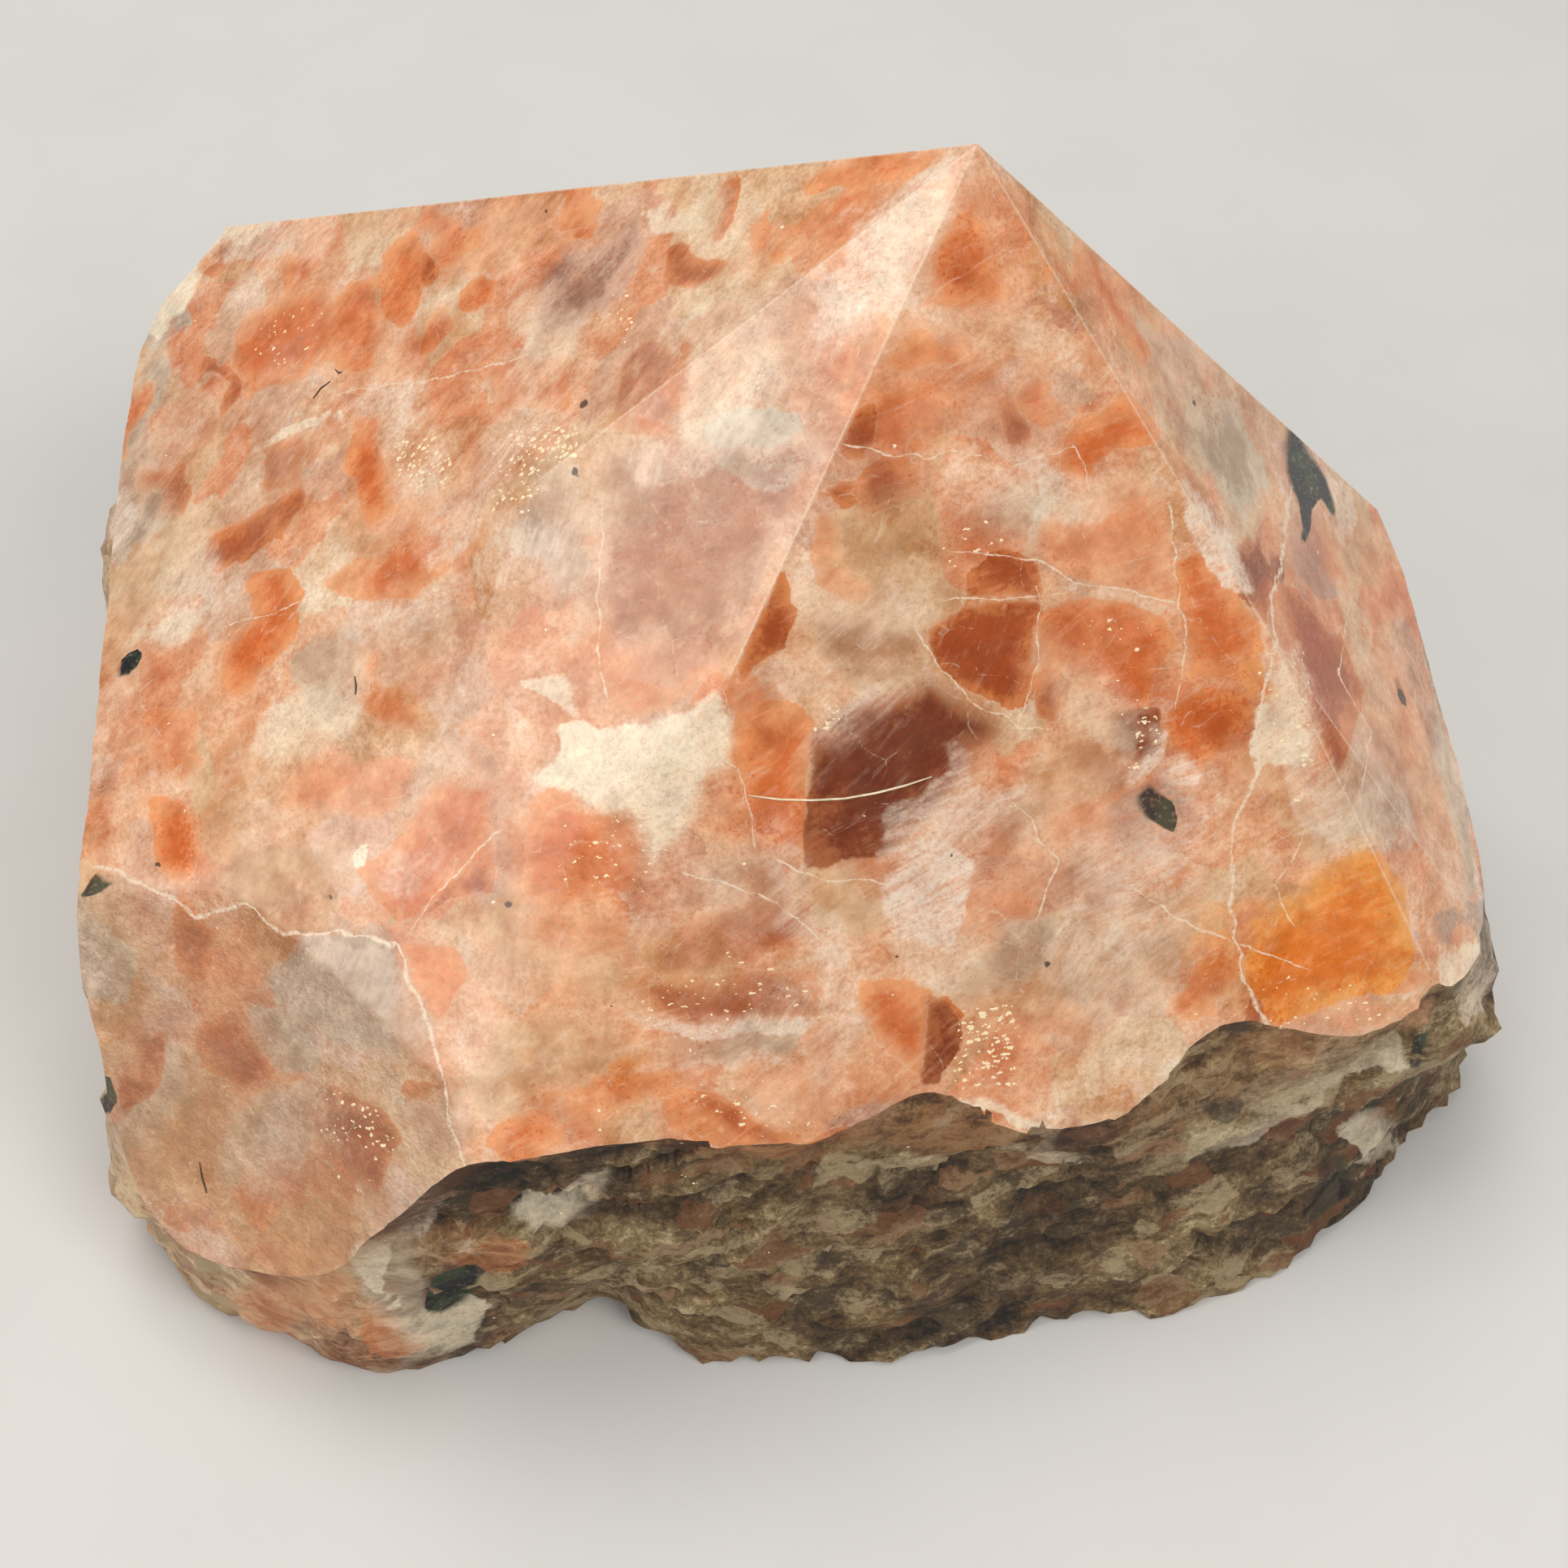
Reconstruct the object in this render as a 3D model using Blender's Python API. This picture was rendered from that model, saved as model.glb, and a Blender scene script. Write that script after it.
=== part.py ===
"""Sunstone point: a natural block of sunstone whose top is ground and polished to a six-sided point.

The stone is one solid. Its surface is found by looking out from a point in its middle: in each direction it ends at
the nearest of the polished facets, the worn shoulder, the broken sides and the flat-cut base.
Metres in the scene, millimetres in the constants below. +Z is up and the viewer's side faces -Y.
"""

import math

import bmesh
import bpy
import numpy as np
from mathutils import Vector, noise

NODE = "sunstone_point"
MM = 0.001

# Where the two main points lie, in mm, before the block is centred on its footprint.
APEX = np.array((11.3, 8.3, 78.0))
MIDDLE = np.array((0.0, 6.0, 30.0))

# Polished facets, which all meet at the apex: the bearing they face and their slope, in degrees.
# Bearing 0 is +X, 90 is the back, 180 the left and 270 the front. Slope 0 is level and 90 upright.
FACETS = {
    "left": (192.0, 36.4),
    "left_front": (238.1, 45.4),
    "front": (287.2, 59.7),
    "right": (349.4, 53.3),
    "back_right": (56.4, 56.8),
    "back": (86.8, 47.2),
}
# A narrow extra facet below the bend of the edge between front and right, and the height of that bend.
LOW_FACET = (327.6, 54.3)
BEND_HEIGHT = 48.3
# The two front edges are crisp near the apex and worn round further down.
WORN_EDGE_FACETS = ("left", "left_front", "front")
WORN_EDGE_START = 33.0
WORN_EDGE_END = 52.0
WORN_EDGE_ROUND = 8.0

# The worn, lightly polished shoulder below the left facets is a shallow trough of two slopes that meet at one
# point of its upper rim: bearing and slope of each, that point, and the waves of the surface.
SHOULDER_SLOPES = ((242.2, 57.3), (226.6, 56.0))
SHOULDER_POINT = (-25.4, -18.2, 35.5)
SHOULDER_WAVE = 0.7
SHOULDER_WAVELENGTH = 13.0
TROUGH_ROUND = 5.0

# Broken sides: bearing, slope, and a point that each passes through.
WALLS = {
    "left": (184.0, 86.0, (-49.8, 10.0, 28.0)),
    "left_foot": (225.0, 86.0, (-40.4, -30.0, 6.0)),
    "front_foot": (256.0, 90.0, (-34.0, -37.5, 4.0)),
    "front": (270.0, 90.0, (0.0, -31.6, 3.0)),
    "front_right": (284.0, 75.0, (30.0, -26.6, 3.0)),
    "right_corner": (322.0, 83.0, (45.5, -18.5, 5.0)),
    "right": (8.0, 79.0, (53.2, -4.0, 14.0)),
    "back_right": (52.0, 84.0, (42.0, 26.0, 20.0)),
    "back": (94.0, 85.0, (0.0, 50.0, 20.0)),
    "back_left": (134.0, 84.0, (-48.5, 47.5, 30.0)),
}
WALL_ROUND = 9.0
BASE_RIM_DEPTH = -3.5

# Lumps of the broken skin: wavelength and height in mm.
LUMPS = ((23.0, 2.0), (10.0, 0.9))
# Flat chips at odd angles, wider than they are tall: width and height of step in mm.
CHIPS = ((11.0, 1.5), (5.5, 0.7))
CHIP_FLATNESS = 0.55
CHIP_TILT = 1.1
# Ledges follow the grain of the rock, which rises slightly to the right, and fade in and out.
LEDGE_STEP = 7.5
LEDGE_DEPTH = 2.2
GRAIN_RISE = 0.16
LEDGE_WANDER = 4.0
# The skin is calm where it meets the polished facets and steps back just below them.
CALM_BAND = 5.0
CALM_SHARE = 0.2
LIP_BAND = 2.0
LIP_STEP = 1.1

# Single swellings and hollows of the skin: centre, radius and height in mm; hollows are negative.
SWELLINGS = {
    "hollow_under_front_edge": ((9.0, -28.0, 27.0), 7.5, -2.6),
    "hollow_near_right_corner": ((34.0, -23.0, 22.0), 8.0, -3.4),
    "foot": ((-28.0, -35.0, 4.0), 9.0, 4.2),
    "right_corner": ((53.0, -7.0, 16.0), 8.0, 2.4),
    "front_toe": ((9.0, -30.0, 2.0), 9.0, 3.0),
    "arch_under_front": ((-15.0, -32.0, 1.0), 6.0, -6.0),
    "pale_lump": ((-29.0, -34.0, 11.0), 6.5, 1.8),
    "black_pocket": ((-22.5, -33.0, 9.0), 2.8, -3.0),
    "left_rim": ((-51.0, -12.0, 24.0), 8.0, 2.8),
    "left_low": ((-49.0, -20.0, 12.0), 9.0, 2.2),
    "left_corner_chip": ((-49.0, 46.0, 41.0), 6.0, -3.5),
}

BALL_SUBDIVISIONS = 7
TRIANGLES = 9400
# Points nearer than this to the plane of the base are put exactly on it, in mm.
BASE_SNAP = 0.08
STONE_COLOUR = (0.72, 0.40, 0.26, 1.0)


def normal_of(bearing, slope):
    """Outward normal of a face that looks towards a bearing with a slope, both in degrees."""
    b = math.radians(bearing)
    s = math.radians(slope)
    return np.array((math.sin(s) * math.cos(b), math.sin(s) * math.sin(b), math.cos(s)))


def bend_point():
    """The point where the edge between the front and right facets bends outwards."""
    along = np.cross(normal_of(*FACETS["front"]), normal_of(*FACETS["right"]))
    return APEX + along * (BEND_HEIGHT - APEX[2]) / along[2]


def reach(directions, normal, point):
    """How far each direction runs from the middle before it meets the plane; a large number if it never does."""
    along = directions @ normal
    offset = float(normal @ (np.asarray(point) - MIDDLE))
    return np.where(along > 1e-4, offset / np.maximum(along, 1e-4), 1e4)


def smooth_step(low, high, value):
    t = np.clip((value - low) / (high - low), 0.0, 1.0)
    return t * t * (3.0 - 2.0 * t)


def smooth_min(a, b, width):
    """The lesser of a and b, rounded where they are closer than width."""
    width = np.maximum(width, 1e-6)
    h = np.maximum(width - np.abs(a - b), 0.0) / width
    return np.minimum(a, b) - h * h * width / 4.0


def lumpy(points, wavelength, shift=0.0):
    """Smooth noise from about -1 to 1 at each point."""
    offset = Vector((shift, 1.7 * shift, 2.3 * shift))
    return np.array([noise.noise(Vector(p) / wavelength + offset) for p in points])


def polished_reach(directions):
    """Distance to the polished facets and the worn shoulder."""
    planes = {name: reach(directions, normal_of(*face), APEX) for name, face in FACETS.items()}
    nearest = np.min(list(planes.values()), axis=0)
    from_apex = np.linalg.norm(MIDDLE + directions * nearest[:, None] - APEX, axis=1)
    rounding = WORN_EDGE_ROUND * smooth_step(WORN_EDGE_START, WORN_EDGE_END, from_apex)
    front = planes[WORN_EDGE_FACETS[0]]
    for name in WORN_EDGE_FACETS[1:]:
        front = smooth_min(front, planes[name], rounding)
    crisp = [planes[name] for name in FACETS if name not in WORN_EDGE_FACETS]
    low = reach(directions, normal_of(*LOW_FACET), bend_point())
    return np.min([front, *crisp, low, shoulder_reach(directions)], axis=0)


def shoulder_reach(directions):
    """Distance to the worn shoulder, whose surface waves gently."""
    one, other = (reach(directions, normal_of(*slope), SHOULDER_POINT) for slope in SHOULDER_SLOPES)
    trough = np.minimum(-smooth_min(-one, -other, TROUGH_ROUND), 200.0)
    waves = lumpy(MIDDLE + directions * trough[:, None], SHOULDER_WAVELENGTH, 3.0)
    return trough + SHOULDER_WAVE * waves


def ledges(points):
    """Steps in the skin along the grain, as deep as LEDGE_DEPTH in some places and gone in others."""
    height = points[:, 2] - GRAIN_RISE * points[:, 0] + LEDGE_WANDER * lumpy(points, 17.0, 5.0)
    phase = height / LEDGE_STEP % 1.0
    depth = LEDGE_DEPTH * smooth_step(-0.35, 0.35, lumpy(points, 15.0, 7.0))
    return depth * (smooth_step(0.0, 0.2, phase) - phase)


def chips(points, width, step):
    """Height of the flat chip that each point lies on: every chip has its own level and lean."""
    scale = np.array((width, width, width * CHIP_FLATNESS))
    along_grain = points - np.outer(points[:, 0], (0.0, 0.0, GRAIN_RISE))
    heights = []
    for place in along_grain / scale:
        chip = noise.voronoi(place)[1][0]
        lean = noise.noise_vector(chip * 5.3) * CHIP_TILT
        heights.append(step * (noise.noise(chip * 7.1) + lean.dot(Vector(place) - chip)))
    return np.array(heights)


def wall_reach(directions):
    """Distance to the broken sides and the rounded rim of the base before they are roughened."""
    distance = np.full(len(directions), 1e4)
    for bearing, slope, point in WALLS.values():
        distance = smooth_min(distance, reach(directions, normal_of(bearing, slope), point), WALL_ROUND)
    rim = reach(directions, np.array((0.0, 0.0, -1.0)), (0.0, 0.0, BASE_RIM_DEPTH))
    return np.minimum(smooth_min(distance, rim, WALL_ROUND), 120.0)


def skin_reach(directions, polished):
    """Distance to the broken skin, given the distance to the polished faces."""
    distance = wall_reach(directions)
    points = MIDDLE + directions * distance[:, None]
    below_lip = polished - distance
    roughness = ledges(points)
    for index, (wavelength, height) in enumerate(LUMPS):
        roughness = roughness + height * lumpy(points, wavelength, 11.0 * (index + 1))
    for width, step in CHIPS:
        roughness = roughness + chips(points, width, step)
    calm = CALM_SHARE + (1.0 - CALM_SHARE) * smooth_step(0.0, CALM_BAND, below_lip)
    distance = distance + calm * roughness - LIP_STEP * smooth_step(0.0, LIP_BAND, below_lip)
    for centre, radius, height in SWELLINGS.values():
        gap = np.linalg.norm(points - np.array(centre), axis=1)
        distance = distance + height * np.exp(-((gap / radius) ** 2))
    return distance


def polished_and_skin(directions):
    polished = polished_reach(directions)
    return polished, skin_reach(directions, polished)


def move_to_rim(directions, edges):
    """Slide the directions nearest the rim of the polished faces onto it, so that the rim is a clean line."""
    polished, skin = polished_and_skin(directions)
    inside = skin - polished
    a, b = edges[:, 0], edges[:, 1]
    crossing = inside[a] * inside[b] < 0.0
    a, b = a[crossing], b[crossing]
    share = inside[a] / (inside[a] - inside[b])
    mover = np.where(share < 0.5, a, b)
    travel = np.minimum(share, 1.0 - share)
    target = directions[a] + share[:, None] * (directions[b] - directions[a])
    moved = directions.copy()
    for index in np.argsort(-travel):
        moved[mover[index]] = target[index]
    return moved / np.linalg.norm(moved, axis=1)[:, None]


def surface(directions):
    """Points of the stone's surface along unit directions from its middle, in mm."""
    base = reach(directions, np.array((0.0, 0.0, -1.0)), (0.0, 0.0, 0.0))
    return MIDDLE + directions * np.min([*polished_and_skin(directions), base], axis=0)[:, None]


def ridge_cuts():
    """Normals of the planes through the middle that hold the crisp edges between neighbouring facets."""
    faces = [normal_of(*face) for face in FACETS.values()]
    for here, following in zip(faces, faces[1:] + faces[:1]):
        yield np.cross(APEX - MIDDLE, np.cross(here, following))
    for name in ("front", "right"):
        yield np.cross(bend_point() - MIDDLE, np.cross(normal_of(*FACETS[name]), normal_of(*LOW_FACET)))


def polished_part(bm):
    """The faces, edges and corners of the ball that become polished surface."""
    centres = np.array([face.calc_center_median().normalized() for face in bm.faces])
    facets = [reach(centres, normal_of(*face), APEX) for face in FACETS.values()]
    polished = np.min(facets, axis=0) < wall_reach(centres)
    faces = [face for face, chosen in zip(bm.faces, polished) if chosen]
    edges = dict.fromkeys(edge for face in faces for edge in face.edges)
    verts = dict.fromkeys(vert for face in faces for vert in face.verts)
    return [*faces, *edges, *verts]


def stone_mesh():
    """A ball of triangles, cut where the crisp edges will run and then pulled in to the stone's surface."""
    bm = bmesh.new()
    bmesh.ops.create_icosphere(bm, subdivisions=BALL_SUBDIVISIONS, radius=1.0)
    for normal in ridge_cuts():
        bmesh.ops.bisect_plane(bm, geom=polished_part(bm), dist=1e-4, plane_co=(0, 0, 0), plane_no=normal)
    bmesh.ops.triangulate(bm, faces=bm.faces[:])
    bm.verts.index_update()
    edges = np.array([[v.index for v in edge.verts] for edge in bm.edges])
    directions = np.array([v.co.normalized() for v in bm.verts])
    points = surface(move_to_rim(directions, edges))
    low = points.min(axis=0)
    high = points.max(axis=0)
    centre = np.array(((low[0] + high[0]) / 2, (low[1] + high[1]) / 2, 0.0))
    for vert, point in zip(bm.verts, points):
        vert.co = Vector((point - centre) * MM)
    print("footprint centre in mm", centre.round(3), "size in mm", (high - low).round(2))
    mesh = bpy.data.meshes.new(NODE)
    bm.to_mesh(mesh)
    bm.free()
    return mesh


def stone_material():
    material = bpy.data.materials.new("sunstone")
    material.use_nodes = True
    shader = material.node_tree.nodes["Principled BSDF"]
    shader.inputs["Base Color"].default_value = STONE_COLOUR
    shader.inputs["Roughness"].default_value = 0.28
    shader.inputs["Metallic"].default_value = 0.0
    return material


def thin_out(stone):
    """Merge triangles where the surface is flat, and keep the base exactly level."""
    decimate = stone.modifiers.new("fewer_triangles", "DECIMATE")
    decimate.ratio = TRIANGLES / len(stone.data.polygons)
    evaluated = stone.evaluated_get(bpy.context.evaluated_depsgraph_get())
    stone.data = bpy.data.meshes.new_from_object(evaluated)
    stone.modifiers.clear()
    for vert in stone.data.vertices:
        if vert.co.z < BASE_SNAP * MM:
            vert.co.z = 0.0


def main():
    for old in list(bpy.data.objects):
        bpy.data.objects.remove(old)
    mesh = stone_mesh()
    stone = bpy.data.objects.new(NODE, mesh)
    bpy.context.scene.collection.objects.link(stone)
    mesh.materials.append(stone_material())
    mesh.shade_smooth()
    thin_out(stone)


main()
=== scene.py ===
import math
import random

import bmesh
import bpy
import numpy as np
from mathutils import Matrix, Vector, kdtree, noise
from mathutils.bvhtree import BVHTree


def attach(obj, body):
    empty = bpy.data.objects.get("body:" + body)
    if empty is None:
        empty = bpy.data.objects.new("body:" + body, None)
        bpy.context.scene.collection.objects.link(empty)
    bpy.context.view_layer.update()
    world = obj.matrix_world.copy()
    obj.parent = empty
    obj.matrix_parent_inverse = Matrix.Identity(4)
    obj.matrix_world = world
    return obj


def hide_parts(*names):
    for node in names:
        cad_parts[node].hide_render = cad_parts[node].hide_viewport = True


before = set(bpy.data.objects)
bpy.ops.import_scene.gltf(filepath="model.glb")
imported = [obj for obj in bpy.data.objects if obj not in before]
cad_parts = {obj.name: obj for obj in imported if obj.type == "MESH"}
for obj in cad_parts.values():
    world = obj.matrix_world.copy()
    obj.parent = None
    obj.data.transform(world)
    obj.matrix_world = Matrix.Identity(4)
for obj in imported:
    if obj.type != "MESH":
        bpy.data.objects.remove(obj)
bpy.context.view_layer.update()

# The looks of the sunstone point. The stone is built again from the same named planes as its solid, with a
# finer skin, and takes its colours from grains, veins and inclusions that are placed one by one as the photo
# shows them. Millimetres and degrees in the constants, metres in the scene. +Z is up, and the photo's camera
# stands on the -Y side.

MM = 0.001

# The photo's camera, before the stone is centred on its footprint.
PHOTO_SIZE = 1932
PHOTO_TILT = 52.0
PHOTO_ANGLE = 36.0
PHOTO_DISTANCE = 175.0
PHOTO_TARGET = np.array((0.0, 0.0, 28.0))
PHOTO_HALF = PHOTO_SIZE / 2.0
# How far one pixel is from the next at a distance of 1.
PHOTO_SPREAD = math.tan(math.radians(PHOTO_ANGLE / 2.0)) / PHOTO_HALF
FOOTPRINT_CENTRE = np.array((-0.386, 8.740, 0.0))

# The stone's shape, the same as in its solid.
APEX = np.array((11.3, 8.3, 78.0))
MIDDLE = np.array((0.0, 6.0, 30.0))
FACETS = {
    "left": (192.0, 36.4),
    "left_front": (238.1, 45.4),
    "front": (287.2, 59.7),
    "right": (349.4, 53.3),
    "back_right": (56.4, 56.8),
    "back": (86.8, 47.2),
}
LOW_FACET = (327.6, 54.3)
BEND_HEIGHT = 48.3
WORN_EDGE_FACETS = ("left", "left_front", "front")
WORN_EDGE_START = 33.0
WORN_EDGE_END = 52.0
WORN_EDGE_ROUND = 8.0
SHOULDER_SLOPES = ((242.2, 57.3), (226.6, 56.0))
SHOULDER_POINT = (-25.4, -18.2, 35.5)
SHOULDER_WAVE = 0.7
SHOULDER_WAVELENGTH = 13.0
SHOULDER_SHIFT = 3.0
TROUGH_ROUND = 5.0
WALLS = {
    "left": (184.0, 86.0, (-49.8, 10.0, 28.0)),
    "left_foot": (225.0, 86.0, (-40.4, -30.0, 6.0)),
    "front_foot": (256.0, 90.0, (-34.0, -37.5, 4.0)),
    "front": (270.0, 90.0, (0.0, -31.6, 3.0)),
    "front_right": (284.0, 75.0, (30.0, -26.6, 3.0)),
    "right_corner": (322.0, 83.0, (45.5, -18.5, 5.0)),
    "right": (8.0, 79.0, (53.2, -4.0, 14.0)),
    "back_right": (52.0, 84.0, (42.0, 26.0, 20.0)),
    "back": (94.0, 85.0, (0.0, 50.0, 20.0)),
    "back_left": (134.0, 84.0, (-48.5, 47.5, 30.0)),
}
WALL_ROUND = 9.0
# Distances that stand for never, and the most that the noises are given.
TINY = 1e-4
FAR = 1e4
SHOULDER_LIMIT = 200.0
SKIN_LIMIT = 120.0
BASE_RIM_DEPTH = -3.5
LUMPS = ((23.0, 2.0), (10.0, 0.9))
CHIPS = ((11.0, 1.5), (5.5, 0.7))
CHIP_FLATNESS = 0.55
CHIP_TILT = 1.1
LEDGE_STEP = 7.5
LEDGE_DEPTH = 2.2
GRAIN_RISE = 0.16
LEDGE_WANDER = 4.0
# Wavelength and shift of the noises that bend the ledges and thin them out.
LEDGE_WANDER_NOISE = (17.0, 5.0)
LEDGE_DEPTH_NOISE = (15.0, 7.0)
LUMP_SHIFT = 11.0
CALM_BAND = 5.0
CALM_SHARE = 0.2
LIP_BAND = 2.0
LIP_STEP = 1.1
SWELLINGS = {
    "hollow_under_front_edge": ((9.0, -28.0, 27.0), 7.5, -2.6),
    "hollow_near_right_corner": ((34.0, -23.0, 22.0), 8.0, -3.4),
    "foot": ((-28.0, -35.0, 4.0), 9.0, 4.2),
    "right_corner": ((53.0, -7.0, 16.0), 8.0, 2.4),
    "front_toe": ((9.0, -30.0, 2.0), 9.0, 3.0),
    "arch_under_front": ((-15.0, -32.0, 1.0), 6.0, -6.0),
    "pale_lump": ((-29.0, -34.0, 11.0), 6.5, 1.8),
    "black_pocket": ((-22.5, -33.0, 9.0), 2.8, -3.0),
    "left_rim": ((-51.0, -12.0, 24.0), 8.0, 2.8),
    "left_low": ((-49.0, -20.0, 12.0), 9.0, 2.2),
    "left_corner_chip": ((-49.0, 46.0, 41.0), 6.0, -3.5),
}

# What is finer than in the solid: low swells that bring the rim of the polished faces to where the photo
# shows it, flakes of the broken skin, and a ball of triangles that is densest towards the camera.
RIM_SWELL_RADIUS = 6.0
RIM_SWELLS = {
    "left": ((-16.0, -31.0, 27.0), 1.0),
    "left_of_hump": ((-6.0, -29.0, 26.0), 0.9),
    "hump": ((4.0, -26.5, 26.5), 1.2),
    "right_of_hump": ((10.0, -25.5, 25.5), 0.7),
    "right_rise": ((25.0, -22.5, 21.5), 0.3),
    "right": ((40.0, -18.0, 21.0), 0.3),
    "corner": ((50.0, -12.0, 19.0), 1.6),
}
FLAKES = ((2.8, 0.50), (1.4, 0.22))
# Fixes the lean of every chip and the bends of the grains.
NOISE_SEED = 1796049102
BALL_SUBDIVISIONS = 5
FINER_CUTS = 4
BALL_LEAN = Vector((0.0, -0.14, 0.20))
CRISP_EDGE = 12.0
SKIN_CRISP_EDGE = 32.0

# Grains are bent out of shape by this: wavelength and shift in mm.
GRAIN_BENDS = ((9.0, 3.2), (3.4, 1.6), (1.5, 0.5))
GRAIN_DEPTH = 9.0
OUTLINE_BEND = 0.2
# The depth counted at the middle of a grain too narrow to have it, in mm, so that its inner colour shows too.
HEART = 1.3
# Below this height, in mm, the random grains are weaker: most of what lies there is broken skin.
SKIN_TOP = 26.0
# The size of one of the photo's pixels on the stone, in mm.
PIXEL = 0.059
FIELD_LIMIT = 3.0
# One side of each grain is crisp and the other misty: how much the softness of its edge varies.
MISTY_SIDE = 1.0
# Nearer to a grain's middle than this share of its width, its sides count less and less.
ALL_SIDES = 0.3
VEIN_SPACING = 0.3
VEIN_WANDER = 0.35
VEIN_REACH = 0.8
WIDE_VEINS = "vein_a"
WIDENING = 2.6


def grain(x, y, width, height, turn=0.0, soft=1.0, strength=0.8):
    """An oval grain at the photo's pixel x, y: half width, half height and softness in mm, as seen there."""
    return {"at": (x, y), "size": (width, height), "turn": turn, "soft": soft, "strength": strength}


def outline(soft, strength, *corners):
    """A grain whose outline the photo shows: its edge's softness in mm, strength, and corners in pixels."""
    return {"corners": corners, "soft": soft, "strength": strength}


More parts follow.
